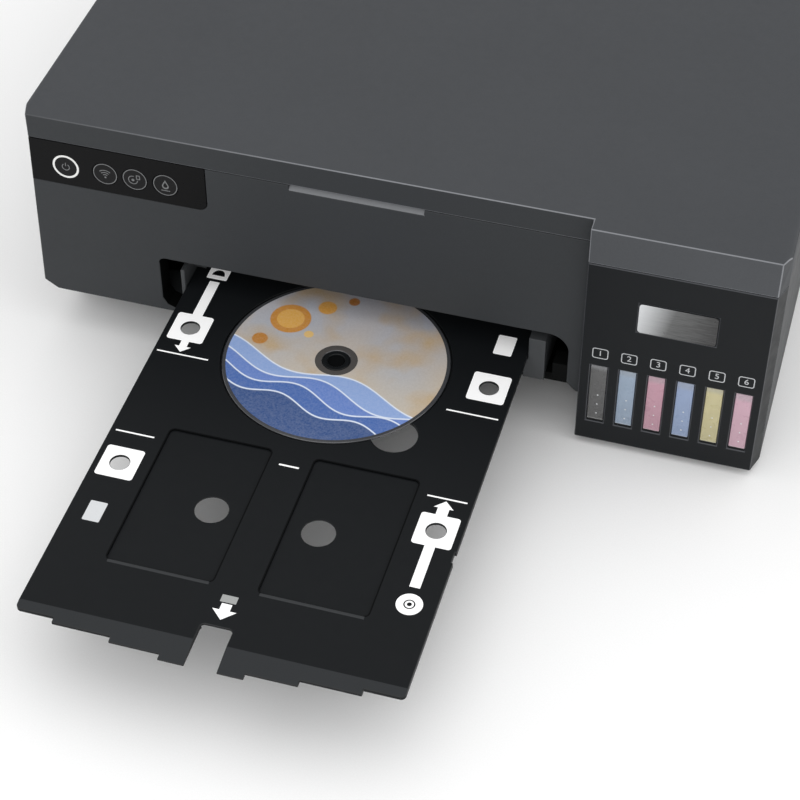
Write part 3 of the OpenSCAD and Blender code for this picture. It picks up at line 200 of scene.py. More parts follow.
@dataclass(frozen=True)
class Finish:
    """A surface finish, whose material is made once and then shared.

    Attributes:
        name: Name of the real material and how it was made.
        colour: Its colour, as sRGB hex.
        roughness: Roughness of its surface.
    """

    name: str
    colour: str
    roughness: float = 0.5

    def material(self) -> bpy.types.Material:
        """The material, made on first use.

        Returns:
            The finish's material.
        """
        if self.name not in _MADE:
            made = bpy.data.materials.new(self.name)
            made.use_nodes = True
            tree = made.node_tree
            tree.nodes.clear()
            plain = {"Base Color": linear(self.colour), "Roughness": self.roughness}
            shader = add(tree, "ShaderNodeBsdfPrincipled", plain)
            add(tree, "ShaderNodeOutputMaterial", {"Surface": shader.outputs["BSDF"]})
            feed(tree, shader, self.looks(tree))
            made.diffuse_color = linear(self.colour)
            _MADE[self.name] = made
        return _MADE[self.name]

    def looks(self, tree: Tree) -> dict[str, Any]:
        """What the shader's inputs get; each kind of finish has its own.

        Args:
            tree: Tree of the material.

        Returns:
            Plain values and sockets, by the name of the shader's input.
        """
        raise NotImplementedError

    def tone(self, tree: Tree, cover: Socket, low: float, high: float) -> Socket:
        """The finish's colour, from one gain to another as the cover rises."""
        return laid(tree, linear(self.colour, low), (cover, linear(self.colour, high)))

    def rough(self, tree: Tree, noise: Socket, by: float) -> Socket:
        """Roughness that follows a noise, by an amount each way."""
        return spread(tree, noise, self.roughness - by, self.roughness + by)

    def relief(self, tree: Tree, height: Socket, depth: float, strength: float = 1.0) -> Socket:
        """Normal of the surface under a height map of a real depth."""
        inputs = {"Strength": strength, "Distance": depth * MM, "Height": height}
        return add(tree, "ShaderNodeBump", inputs).outputs["Normal"]


@dataclass(frozen=True)
class Moulded(Finish):
    """Injection-moulded plastic with a spark-eroded grain.

    Attributes:
        size: Size of the grain, drawn coarse enough to show.
        depth: Depth of the grain.
        drift: How far the tone wanders over the surface.
        shine: Level of the plain reflection.
        gloss: Weight of a clear, polished skin.
    """

    size: float = 0.9
    depth: float = 0.03
    drift: float = 0.05
    shine: float = 0.35
    gloss: float = 0.0

    def looks(self, tree: Tree) -> dict[str, Any]:
        """A soft, even face with a fine tooth and a tone that drifts slowly."""
        tone = self.tone(tree, grain(tree, 55, 1), 1 - self.drift, 1 + self.drift)
        tooth = grain(tree, self.size, 3)
        return {
            "Base Color": laid(tree, tone, (spread(tree, tooth, 0.0, 0.1), linear(self.colour, 1.8))),
            "Roughness": self.rough(tree, grain(tree, 6), 0.04),
            "Normal": self.relief(tree, tooth, self.depth),
            "Specular IOR Level": self.shine,
            "Coat Weight": self.gloss,
            "Coat Roughness": 0.04,
        }


@dataclass(frozen=True)
class FadingHighlight(Moulded):
    """Moulded plastic whose painted highlight fades out towards one end along X.

    Attributes:
        dull: Colour at the end where the painted highlight is gone.
        start: X of that end.
        end: X from which the painted highlight is full.
    """

    dull: str = "#3f4144"
    start: float = -195.0
    end: float = -20.0

    def looks(self, tree: Tree) -> dict[str, Any]:
        """A moulded face whose painted highlight rises slowly from the dull end."""
        shown = super().looks(tree)
        inputs = {"Value": axes(tree)[1]["X"], "From Min": self.start, "From Max": self.end}
        highlight_share = add(tree, RANGE, inputs).outputs["Result"]
        shown["Base Color"] = laid(tree, linear(self.dull), (highlight_share, shown["Base Color"]))
        return shown


@dataclass(frozen=True)
class Metal(Finish):
    """Rolled, drawn or plated metal.

    Attributes:
        stretch: Length of its scratches along X, Y and Z, against their width.
        width: Width of a scratch.
        brush: How strongly the scratches show.
    """

    stretch: Triple = (14.0, 1.0, 1.0)
    width: float = 0.5
    brush: float = 0.12

    def looks(self, tree: Tree) -> dict[str, Any]:
        """Long fine scratches that catch the light across their length."""
        lines = grain(tree, self.width, 2, self.stretch)
        return {
            "Metallic": 1.0,
            "Roughness": self.rough(tree, lines, self.brush),
            "Base Color": self.tone(tree, lines, 0.88, 1.08),
            "Normal": self.relief(tree, lines, 0.01, 0.6),
        }


@dataclass(frozen=True)
class Faded(Finish):
    """Metallised foil whose reflection fades across it from pale to dark.

    Attributes:
        middle: Colour a little before its middle.
        bend: Share of the way at which that colour lies.
        far: Colour at its far corner.
        start: X, Y and Z of its pale corner.
        span: How far the fade runs along X, Y and Z.
    """

    middle: str = "#505151"
    bend: float = 0.45
    far: str = "#131213"
    start: Triple = (0.0, 0.0, 0.0)
    span: Triple = (1.0, 1.0, 1.0)

    def looks(self, tree: Tree) -> dict[str, Any]:
        """A pale corner that darkens to the other one, with a satin brush."""
        length = sum(v * v for v in self.span)
        inputs = {0: axes(tree, self.start)[0], 1: tuple(v / length for v in self.span)}
        along = add(tree, VECTOR, inputs, operation="DOT_PRODUCT")
        fade = add(tree, "ShaderNodeValToRGB", {"Fac": along.outputs["Value"]})
        stops = fade.color_ramp.elements
        stops[0].color, stops[1].color = linear(self.colour), linear(self.far)
        stops.new(self.bend).color = linear(self.middle)
        brush = grain(tree, 0.4, 2, (20.0, 1.0, 1.0), (0.0, 0.05))
        return {
            "Base Color": laid(tree, fade.outputs["Color"], (brush, linear("#ffffff"))),
            "Metallic": 0.1,
            "Roughness": self.rough(tree, grain(tree, 4), 0.05),
        }


@dataclass(frozen=True)
class Rubber(Finish):
    """Moulded rubber: matt, with a dusty bloom."""

    def looks(self, tree: Tree) -> dict[str, Any]:
        """A dull face with a pale bloom in the hollows of its grain."""
        fine = grain(tree, 1.1, 4)
        return {
            "Base Color": self.tone(tree, spread(tree, fine, 0.0, 1.0), 1.0, 1.5),
            "Roughness": self.rough(tree, grain(tree, 3), 0.06),
            "Normal": self.relief(tree, fine, 0.06),
            "Specular IOR Level": 0.3,
        }


@dataclass(frozen=True)
class Clear(Finish):
    """Clear or milky plastic that lets light through.

    Attributes:
        through: Share of the light that passes.
        index: Index of refraction.
    """

    through: float = 0.7
    index: float = 1.5

    def looks(self, tree: Tree) -> dict[str, Any]:
        """A milky body with faint flow lines from the mould."""
        flow = grain(tree, 5, 2, (1.0, 1.0, 3.0))
        return {
            "Base Color": self.tone(tree, flow, 0.9, 1.08),
            "Transmission Weight": self.through,
            "IOR": self.index,
            "Roughness": self.rough(tree, grain(tree, 8), 0.03),
            "Normal": self.relief(tree, flow, 0.03),
        }


@dataclass(frozen=True)
class Window(Finish):
    """Milky window of an ink tank with the ink behind it.

    Attributes:
        low: Height of the window's lower edge.
        level: Height of the ink behind it.
    """

    low: float = 18.3
    level: float = 54.0

    def looks(self, tree: Tree) -> dict[str, Any]:
        """Ink seen through milky plastic: greyer above its level, paler at the foot as a painted
        highlight.
        """
        height = axes(tree)[1]["Z"]
        # Two heights and the cover at each, for the paler body, the empty part and the foot's painted
        # highlight
        spans = (
            (self.low, self.level, 0.9, 0.0),
            (self.level - 1.2, self.level + 1.2, 0.0, 0.4),
            (self.low + 1.0, self.low + 2.6, 0.3, 0.0),
        )
        names = ("From Min", "From Max", "To Min", "To Max")
        body, above, foot = (
            add(tree, RANGE, {"Value": height, **dict(zip(names, span))}).outputs[0]
            for span in spans
        )
        cloud = grain(tree, 7, reach=(0.0, 0.35))
        seen = laid(
            tree,
            self.tone(tree, body, 1.0, 0.86),
            (cloud, linear(self.colour, 1.12)),
            (above, linear("#9a9c9f", 0.9)),
            # The foot is painted paler, as a painted highlight
            (foot, linear("#ffffff", 0.75)),
        )
        return {
            "Base Color": seen,
            "Roughness": self.rough(tree, grain(tree, 5), 0.05),
            "Subsurface Weight": 0.25,
            "Subsurface Radius": (0.002, 0.002, 0.002),
            "Subsurface Scale": 1.0,
        }


@dataclass(frozen=True)
class Ink(Finish):
    """Ink or a printed film of ink.

    Attributes:
        texture: Depth of the film's stipple.
        glow: Light that it gives off, for a lit ring.
    """

    texture: float = 0.01
    glow: float = 0.0

    def looks(self, tree: Tree) -> dict[str, Any]:
        """An even film with the faint stipple of a print screen."""
        stipple = grain(tree, 0.8)
        return {
            "Base Color": self.tone(tree, stipple, 0.95, 1.03),
            "Roughness": self.rough(tree, grain(tree, 4), 0.05),
            "Normal": self.relief(tree, stipple, self.texture),
            "Emission Color": linear(self.colour),
            "Emission Strength": self.glow,
        }


@dataclass(frozen=True)
class DiscArt(Finish):
    """Printed face of the disc: soft sand and lilac, blue waves and amber rounds.

    Attributes:
        centre: X, Y and Z of the middle of the printed face.
        slant: Rise of the waves from left to right.
        soft: How far the edge of a round fades each way.
    """

    centre: Triple = (0.0, 0.0, 0.0)
    slant: float = -0.22
    soft: float = 0.3

    def looks(self, tree: Tree) -> dict[str, Any]:
        """Inkjet print on a white top coat, a little glossy, with plain shapes."""
        own, part = axes(tree, self.centre)
        ground = self.ground(tree, part["Y"])
        ground = self.waves(tree, part["X"], part["Y"], ground)
        ground = self.rounds(tree, own, ground)
        return {
            "Base Color": laid(tree, ground, (grain(tree, 0.9, reach=(0.0, 0.08)), linear("#ffffff"))),
            "Roughness": self.rough(tree, grain(tree, 9), 0.04),
            "Coat Weight": 0.25,
            "Coat Roughness": 0.15,
        }

    def ground(self, tree: Tree, y: Socket) -> Socket:
        """Cloudy sand that turns to lilac towards the far side.

        Args:
            tree: Tree of the material.
            y: Place behind the middle.

        Returns:
            The colour of the ground.
        """
        inputs = {"Value": y, "From Min": -55.0, "From Max": 60.0, "To Max": 0.75}
        return laid(
            tree,
            linear("#d2b98a"),
            (grain(tree, 38, 1, reach=(0.0, 1.0)), linear("#bdb9b0")),
            (add(tree, RANGE, inputs).outputs[0], linear("#a3acc4")),
            (grain(tree, 26, reach=(-0.6, 0.8)), linear("#bfa06f")),
        )

    def waves(self, tree: Tree, x: Socket, y: Socket, ground: Socket) -> Socket:
        """Four bands of water, each with a pale lip along its crest.

        Args:
            tree: Tree of the material.
            x: Place to the right of the middle.
            y: Place behind the middle.
            ground: Colour under the bands.

        Returns:
            The colour with the bands on it.
        """
        # Level, height, pace and phase of the crest, and colour of the band below it
        bands = (
            (-13.0, 5.0, 0.085, 0.4, "#8ba6d8"),
            (-21.0, 4.5, 0.1, 1.7, "#5f7fc4"),
            (-29.0, 4.0, 0.12, 3.1, "#3b62a8"),
            (-38.0, 3.2, 0.14, 4.4, "#21467f"),
        )
        for level, height, pace, phase, colour in bands:
            turn = add(tree, MATH, {0: x, 1: pace, 2: phase}, operation="MULTIPLY_ADD").outputs[0]
            wave = add(tree, MATH, {0: turn}, operation="SINE").outputs[0]
            crest = add(tree, MATH, {0: wave, 1: height, 2: level}, operation="MULTIPLY_ADD").outputs[0]
            slant = add(tree, MATH, {0: x, 1: self.slant, 2: crest}, operation="MULTIPLY_ADD").outputs[0]
            over = add(tree, MATH, {0: slant, 1: y}, operation="SUBTRACT").outputs[0]
            inside, past_lip = (
                add(tree, RANGE, {"Value": over, "From Min": a, "From Max": b}).outputs[0]
                for a, b in ((0.0, 0.5), (0.9, 1.5))
            )
            band = laid(tree, linear("#dfe8f6"), (past_lip, linear(colour)))
            ground = laid(tree, ground, (inside, band))
        return ground

    def rounds(self, tree: Tree, own: Socket, ground: Socket) -> Socket:
        """Amber rounds, the largest with a paler middle.

        Args:
            tree: Tree of the material.
            own: Place from the middle.
            ground: Colour under the rounds.

        Returns:
            The colour with the rounds on it.
        """
        # X, Y and radius from the disc's middle, and colour
        spots = (
            (-33.0, 24.0, 11.0, "#c8872c"),
            (-33.0, 24.0, 7.4, "#e0a94e"),
            (-16.5, 37.5, 5.0, "#d69a3d"),
            (-44.0, 5.0, 4.2, "#b97a26"),
            (-4.0, 46.0, 3.0, "#a96a1f"),
            (-20.0, 15.0, 2.6, "#e3bb70"),
        )
        for x, y, radius, colour in spots:
            node = add(tree, VECTOR, {0: own, 1: (x, y, 0.0)}, operation="DISTANCE")
            apart, out, back = node.outputs["Value"], radius + self.soft, radius - self.soft
            inputs = {"Value": apart, "From Min": out, "From Max": back}
            ground = laid(tree, ground, (add(tree, RANGE, inputs).outputs[0], linear(colour)))
        return ground


@dataclass(frozen=True)
class Felt(Finish):
    """Pressed felt with a visible nap."""

    def looks(self, tree: Tree) -> dict[str, Any]:
        """A soft, thready face that is rough all over."""
        threads = grain(tree, 1.4, 5, (3.0, 1.0, 1.0))
        tone = self.tone(tree, threads, 0.72, 1.1)
        return {"Base Color": tone, "Normal": self.relief(tree, threads, 0.3), "Sheen Weight": 0.4}


@dataclass(frozen=True)
class Board(Finish):
    """Circuit board under green solder resist.

    Attributes:
        cell: Size of the grid of tracks.
    """

    cell: float = 6.0

    def looks(self, tree: Tree) -> dict[str, Any]:
        """Glossy lacquer over paler tracks on a grid of fine steps."""
        where = add(tree, "ShaderNodeTexCoord").outputs["Object"]
        inputs = {"Vector": where, "Rotation": (0, math.radians(90), 0)}
        inputs = {
            "Vector": add(tree, "ShaderNodeMapping", inputs).outputs[0],
            "Scale": 1 / (self.cell * MM),
            "Mortar Size": 0.06,
            "Color1": linear(self.colour),
            "Color2": linear(self.colour, 0.8),
            "Mortar": linear(self.colour, 1.9),
        }
        tracks = add(tree, "ShaderNodeTexBrick", inputs).outputs["Color"]
        return {"Base Color": tracks, "Roughness": self.rough(tree, grain(tree, 2), 0.06)}


# Moulded ABS of the covers: dark and satin, with an even tooth that softens every reflection
LID_ABS = Moulded("lid_abs_spark_eroded", "#3f4144", 0.55, shine=0.15)
FRONT_ABS = Moulded("front_abs_spark_eroded", "#353739", 0.55, shine=0.15)
SIDE_ABS = Moulded("side_abs_spark_eroded", "#2c2e30", 0.5, shine=0.2)
REAR_ABS = Moulded("rear_abs_spark_eroded", "#37393b", 0.55)
BASE_ABS = Moulded("base_abs_coarse", "#28292b", 0.6, size=1.2, depth=0.05)
# Rounded edges get paler copies of the finish, as painted highlights along the edges; on the lid the
# painted highlight fades out towards its left end
LID_EDGE_HIGHLIGHT = FadingHighlight("lid_abs_painted_edge_highlight", "#75777b", 0.38, depth=0.01)
FRONT_EDGE_HIGHLIGHT = Moulded("front_abs_painted_edge_highlight", "#3a3c3e", 0.4, depth=0.01)
# The band above the tanks leans to the light, so its front faces are painted lighter than the rest of
# the lid, as painted light
BAND_ABS_LIT = Moulded("lid_band_abs_painted_light", "#484a4d", 0.5, shine=0.15)
# The finger recess faces the light, so its slope is painted pale, as a painted highlight strip
RECESS_HIGHLIGHT = Moulded("recess_abs_painted_highlight", "#6d6f72", 0.4, depth=0.01)
# High-gloss ABS of the button panel: near black, with sharp reflections
PANEL_GLOSS = Moulded("panel_abs_high_gloss", "#0b0b0c", 0.3, depth=0.004, shine=0.07, gloss=0.04)
BUTTON_GLOSS = Moulded("button_abs_high_gloss", "#131314", 0.28, depth=0.004, shine=0.1, gloss=0.06)
# Satin black ABS of the ink tank unit's face, and a much paler copy on its rounded edges as a painted
# highlight
TANK_BLACK = Moulded("tank_face_abs_satin", "#17191b", 0.42, depth=0.015, shine=0.12)
TANK_EDGE_HIGHLIGHT = Moulded("tank_face_abs_painted_edge_highlight", "#34363a", 0.35, depth=0.01)
# Polystyrene of the tray: black and satin, with a fine tooth that keeps cards from sliding
TRAY_PS = Moulded("tray_polystyrene_satin", "#131517", 0.46, size=0.7, depth=0.02, shine=0.1)
# The sloped lip at the tray's end is painted lighter than the plate, as a painted sheen
TRAY_LIP_SHEEN = Moulded("tray_polystyrene_lip_painted_sheen", "#2a2c2e", 0.4, size=0.7, depth=0.01, shine=0.12)
# The near rims of its card pockets are painted lighter, as painted highlights; the rings round the
# pockets are painted near black, as painted shade; and its own rounded edges are painted a hair darker
# than the plate, as faint painted shade
TRAY_RIM_HIGHLIGHT = Moulded("tray_polystyrene_rim_painted_highlight", "#2c2e30", 0.32, depth=0.01, shine=0.2)
TRAY_SHADE = Moulded("tray_polystyrene_painted_shade", "#090a0b", 0.6, depth=0.005, shine=0.05)
TRAY_EDGE_SHADE = Moulded("tray_polystyrene_edge_painted_shade", "#101213", 0.35, depth=0.01)
# Polystyrene of the parts in the opening: grey blocks and black mouldings; the cover's faces inside the
# opening are painted black and dull, as painted shade in the hollow
GUIDE_PS = Moulded("guide_polystyrene", "#3b3d3f", 0.5)
INNER_PS = Moulded("inner_polystyrene_black", "#161718", 0.6)
OPENING_SHADE = Moulded("opening_abs_painted_shade", "#0a0b0b", 0.6, depth=0.01, shine=0.05)
# Engineering plastics of the works: smooth dark mouldings and ivory gears
GUIDE_ACETAL = Moulded("edge_guide_acetal", "#4c4f52", 0.42)
CARRIAGE_PPE = Moulded("carriage_ppe_black", "#1c1d1e", 0.48)
GEAR_ACETAL = Moulded("gear_acetal_natural", "#dcdad0", 0.35, depth=0.01, shine=0.5)
INLET_NYLON = Moulded("inlet_nylon_black", "#151516", 0.5)
# Metals of the works: fine scratches that catch the light across their length
FRAME_STEEL = Metal("frame_steel_zinc_plated", "#a9adb0", 0.36)
ROLLER_STEEL = Metal("roller_steel_ground", "#9a9da0", 0.28, stretch=(1.0, 12.0, 12.0))
STAR_STEEL = Metal("star_wheel_stainless", "#c6c8ca", 0.25)
MOTOR_STEEL = Metal("motor_can_drawn_steel", "#7b7e81", 0.34)
PINION_BRASS = Metal("pinion_brass_hobbed", "#b59a5a", 0.3, stretch=(10.0, 1.0, 1.0))
PULLEY_BRASS = Metal("pulley_sintered_bronze", "#b8a06a", 0.4)
SUPPLY_STEEL = Metal("supply_can_galvanised", "#9a9da0", 0.42, width=4.0, stretch=(1.0, 1.0, 1.0))
SCREW_STEEL = Metal("screw_steel_black_zinc", "#585b5e", 0.38)
# Rubbers and felt: dull, with a dusty bloom or a thready nap
FOOT_RUBBER = Rubber("foot_rubber_moulded", "#1b1b1c", 0.8)
ROLLER_RUBBER = Rubber("roller_rubber_ground", "#2a2b2c", 0.72)
BELT_RUBBER = Rubber("belt_rubber_ribbed", "#151516", 0.7)
TUBE_RUBBER = Rubber("tube_elastomer", "#2c2e30", 0.5)
PAD_FELT = Felt("waste_pad_felt", "#d2cdbf", 0.95)
# Milky and clear plastics: soft depth, with faint flow lines
TANK_CLEAR = Clear("tank_polypropylene_milky", "#c5c9cc", 0.3, through=0.55, index=1.49)
STRIP_FILM = Clear("encoder_film_polyester", "#b5babf", 0.15, through=0.5, index=1.6)
# Bare polycarbonate round the print: dark glass with a sharp shine
DISC_CLEAR = Moulded("disc_polycarbonate_rim", "#3e3f42", 0.18, depth=0.002, shine=0.5, gloss=0.6)
DISC_HUB = Moulded("disc_polycarbonate_hub", "#4e4b49", 0.18, depth=0.002, shine=0.5, gloss=0.6)
# Printed films: flat and even; the white one also glows, as painted light that lifts it in the shade
WHITE_PRINT_SELF_LIT = Ink("white_screen_print_painted_glow", "#f6f6f6", 0.5, glow=0.18)
GREY_PRINT = Ink("grey_screen_print", "#d2d4d6", 0.5)
# A grey patch painted where a slot in the tray shows the floor in shade
SLOT_SHADE_PATCH = Ink("slot_painted_shade_patch", "#9c9e9d", 0.5)
LINE_PRINT = Ink("panel_line_print", "#6c6d6e", 0.45)
LABEL_PRINT = Ink("tank_label_print", "#b5b7b9", 0.5)
POWER_RING = Ink("power_ring_diffuser", "#dededc", 0.35, glow=0.1)
# Gold film of the nozzle plate, and the lacquered green of the board
NOZZLE_PLATE = Metal("nozzle_plate_gold_film", "#9c8152", 0.22)
BOARD_GREEN = Board("board_green_resist", "#235238", 0.3)


# ---------------------------------------------------------------- mesh helpers

# Distance under which two corners are one, in metres: of a solid and of a mesh made here
SOLID_GAP, OWN_GAP = 2e-6, 1e-6
# Angles: a smooth mesh is sharp from the first, an edge is rounded from the second, and
# two faces are one flat face under the third
SHARP_FROM, ROUND_FROM, FLAT_UNDER = (math.radians(a) for a in (35, 32, 0.4))
# Widths in metres: a wide face keeps even shallow bends crisp, and a broad one is shaded
# by itself on every side
WIDE_FACE, BROAD_FACE = 0.004, 0.02
# Cosine that no face misses, so that an accent takes faces of every way
ANY_WAY = -2.0
# Degrees between the points of a round corner, and parts of an arc
CORNER_STEP, ARC_PARTS = 15, 24
# Millimetres between overlapping plates, and how many heights they take in turn
PLATE_LIFT, PLATE_LEVELS = 0.004, 3


class Facing(Enum):
    """Way that a flat detail faces."""

    TOP = "top"
    FRONT = "front"
    BACK = "back"

    def place(self, depth: float, right: float = 0.0, up: float = 0.0) -> Matrix:
        """Matrix that puts a drawing in millimetres on a face, in metres.

        Args:
            depth: Height of a top face, or Y of a front or back face.
            right: Shift along X.
            up: Shift along Y on a top face, and along Z otherwise.

        Returns:
            The matrix, from drawing to world.
        """
        rows = {
            Facing.TOP: ((1, 0, 0, right), (0, 1, 0, up), (0, 0, 1, depth)),
            Facing.FRONT: ((1, 0, 0, right), (0, 0, -1, depth), (0, 1, 0, up)),
            Facing.BACK: ((-1, 0, 0, right), (0, 0, 1, depth), (0, 1, 0, up)),
        }[self]
        return Matrix.Scale(MM, 4) @ Matrix((*rows, (0, 0, 0, 1)))


def on_circle(x: float, y: float, radius: float, turn: Sequence[float]) -> Loop:
    """Points of a circle at some angles in degrees."""
    angles = [math.radians(a) for a in turn]
    return [(x + radius * math.cos(a), y + radius * math.sin(a)) for a in angles]


def disc_loop(x: float, y: float, radius: float, steps: int = 48) -> Loop:
    """Outline of a circle."""
    return on_circle(x, y, radius, [360 * i / steps for i in range(steps)])


def box_loop(x: float, y: float, wide: float, high: float, radius: float = 0.0) -> Loop:
    """Outline of a rectangle about its middle, with round corners if radius is over zero.

    Args:
        x: Middle along the drawing's X.
        y: Middle along its Y.
        wide: Size along X.
        high: Size along Y.
        radius: Radius of the corners.

    Returns:
        The outline.
    """
    loop: Loop = []
    for sx, sy, start in ((1, 1, 0), (-1, 1, 90), (-1, -1, 180), (1, -1, 270)):
        cx, cy = x + sx * (wide / 2 - radius), y + sy * (high / 2 - radius)
        turn = range(start, start + 91, CORNER_STEP)
        loop += on_circle(cx, cy, radius, turn) if radius > 0 else [(cx, cy)]
    return loop


def arc_loop(x: float, y: float, radius: float, width: float, start: float, end: float) -> Loop:
    """Outline of a band that follows an arc, between two angles in degrees.

    Args:
        x: Centre along the drawing's X.
        y: Centre along its Y.
        radius: Radius of the band's middle.
        width: Width of the band.
        start: First angle.
        end: Last angle.

    Returns:
        The outline.
    """
    turn = [start + (end - start) * i / ARC_PARTS for i in range(ARC_PARTS + 1)]
    outer, inner = (on_circle(x, y, radius + way * width / 2, turn) for way in (1, -1))
    return outer + inner[::-1]


def arrow_loop(x: float, tail: float, tip: float, stem: float, head: float) -> Loop:
    """Outline of an arrow along the drawing's Y, from its tail to its tip.

    Args:
        x: Middle along the drawing's X.
        tail: Y of its tail.
        tip: Y of its tip.
        stem: Width of its stem.
        head: Width of its head.

    Returns:
        The outline.
    """
    neck = tip - math.copysign(head / 2 - 0.2, tip - tail)
    right = [(x + stem / 2, tail), (x + stem / 2, neck), (x + head / 2, neck), (x, tip)]
    return right + [(2 * x - u, v) for u, v in right[-2::-1]]


def placed(name: str, data: Any) -> Object:
    """Adds an object with its data to the scene.

    Args:
        name: Name of the object.
        data: Its mesh, curve, light or camera.

    Returns:
        The object.
    """
    made = bpy.data.objects.new(name, data)
    bpy.context.scene.collection.objects.link(made)
    return made


def settled(holder: Object) -> Mesh:
    """Plain mesh of what an object shows; the object is removed.

    Args:
        holder: The object.

    Returns:
        The new mesh.
    """
    graph = bpy.context.evaluated_depsgraph_get()
    mesh = bpy.data.meshes.new_from_object(holder.evaluated_get(graph))
    bpy.data.objects.remove(holder)
    return mesh


def opened(*meshes: Mesh, gap: float = 0.0) -> bmesh.types.BMesh:
    """Working shape of some meshes, with corners closer than a gap in metres merged.

    Args:
        *meshes: Meshes to take up.
        gap: Distance, or zero to merge nothing.

    Returns:
        The working shape.
    """
    shape = bmesh.new()
    for mesh in meshes:
        shape.from_mesh(mesh)
    if gap:
        bmesh.ops.remove_doubles(shape, verts=shape.verts, dist=gap)
    return shape


def closed(shape: bmesh.types.BMesh, mesh: Mesh | str) -> Mesh:
    """Writes a working shape to a mesh, or to a new one of a name, and frees it.

    Args:
        shape: Working shape.
        mesh: The mesh, or a new one's name.

    Returns:
        The mesh.
    """
    made = bpy.data.meshes.new(mesh) if isinstance(mesh, str) else mesh
    shape.to_mesh(made)
    shape.free()
    return made


def cleaned(mesh: Mesh, smooth: bool = False) -> Mesh:
    """Merges a mesh's doubles and turns its faces outwards.

    Args:
        mesh: Mesh to clean.
        smooth: Whether its faces are shaded smooth.

    Returns:
        The same mesh.
    """
    shape = opened(mesh, gap=OWN_GAP)
    bmesh.ops.recalc_face_normals(shape, faces=shape.faces)
    for face in shape.faces:
        face.smooth = smooth
    closed(shape, mesh)
    if smooth:
        mesh.set_sharp_from_angle(angle=SHARP_FROM)
    return mesh


def from_curve(curve: bpy.types.Curve, place: Matrix) -> Mesh:
    """Turns a curve to a closed mesh at its place and removes the curve.

    Args:
        curve: Curve or text.
        place: Matrix from drawing to world.

    Returns:
        The mesh.
    """
    mesh = settled(placed(curve.name, curve))
    mesh.transform(place)
    return cleaned(mesh)


def filled(name: str, loops: Sequence[Loop], thick: float, place: Matrix) -> Mesh:
    """A flat plate from its outlines; an outline inside another is a hole.

    Args:
        name: Name of the mesh.
        loops: Outlines.
        thick: Thickness, half on each side of the drawing's plane.
        place: Matrix from drawing to world.

    Returns:
        The closed mesh.
    """
    curve = bpy.data.curves.new(name, "CURVE")
    curve.dimensions = "2D"
    curve.fill_mode = "BOTH"
    curve.extrude = thick / 2
    for loop in loops:
        spline = curve.splines.new("POLY")
        spline.points.add(len(loop) - 1)
        for point, (x, y) in zip(spline.points, loop):
            point.co = (x, y, 0, 1)
        spline.use_cyclic_u = True
    return from_curve(curve, place)


def stencil(name: str, shapes: Sequence[Sequence[Loop]], thick: float, place: Matrix) -> Mesh:
    """Flat plates that may overlap, each from its own outlines.

    Args:
        name: Name of the mesh.
        shapes: Outlines of each plate, the outer one and its holes.
        thick: Thickness of a plate; each lies a hair above the one before.
        place: Matrix from drawing to world.

    Returns:
        The mesh.
    """
    plates = []
    for number, loops in enumerate(shapes):
        lift = Matrix.Translation((0, 0, number % PLATE_LEVELS * PLATE_LIFT))
        plates.append(filled(name, loops, thick, place @ lift))
    return joined(name, plates)


def lettered(name: str, text: str, size: float, thick: float, place: Matrix) -> Mesh:
    """A plain number as a thin plate, centred on the drawing's origin.

    Args:
        name: Name of the mesh.
        text: The number.
        size: Size of the type.
        thick: Thickness of the plate.
        place: Matrix from drawing to world.

    Returns:
        The mesh.
    """
    curve = bpy.data.curves.new(name, "FONT")
    curve.body = text
    curve.size = size
    curve.extrude = thick / 2
    curve.align_x = "CENTER"
    curve.align_y = "CENTER"
    return from_curve(curve, place)


def turned(
    name: str, profile: Loop, place: Matrix, steps: int = 96, whole: bool = True
) -> Mesh:
    """A round solid from half its section, turned about the drawing's Z.

    Args:
        name: Name of the mesh.
        profile: Points as radius and height.
        place: Matrix from drawing to world.
        steps: Number of steps round the axis.
        whole: Whether the section closes on itself.

    Returns:
        The mesh.
    """
    verts, faces = [], []
    count = len(profile)
    for step in range(steps):
        a = 2 * math.pi * step / steps
        verts += [(r * math.cos(a), r * math.sin(a), z) for r, z in profile]
        here, there = step * count, (step + 1) % steps * count
        for i in range(count if whole else count - 1):
            j = (i + 1) % count
            faces.append((here + i, there + i, there + j, here + j))
    mesh = bpy.data.meshes.new(name)
    mesh.from_pydata(verts, [], faces)
    mesh.transform(place)
    return cleaned(mesh, smooth=True)


def block(name: str, low: Sequence[float], high: Sequence[float], radius: float = 0.0) -> Mesh:
    """A box between two corners, with its edges rounded by a radius.

    Args:
        name: Name of the mesh.
        low: Lower corner.
        high: Upper corner.
        radius: Radius of the edges.

    Returns:
        The mesh.
    """
    shape = bmesh.new()
    bmesh.ops.create_cube(shape, size=1.0)
    for vert in shape.verts:
        vert.co = Vector((low[i] + (vert.co[i] + 0.5) * (high[i] - low[i])) * MM for i in range(3))
    if radius > 0:
        edges, offset = shape.edges[:], radius * MM
        bmesh.ops.bevel(shape, geom=edges, offset=offset, segments=3, profile=0.5, affect="EDGES")
    for face in shape.faces:
        face.smooth = True
    mesh = closed(shape, name)
    mesh.set_sharp_from_angle(angle=SHARP_FROM)
    return mesh


def joined(name: str, parts: Sequence[Mesh]) -> Mesh:
    """One mesh from several, which are removed.

    Args:
        name: Name of the mesh.
        parts: Meshes to join.

    Returns:
        The new mesh.
    """
    mesh = closed(opened(*parts), name)
    for part in parts:
        bpy.data.meshes.remove(part)
    return mesh


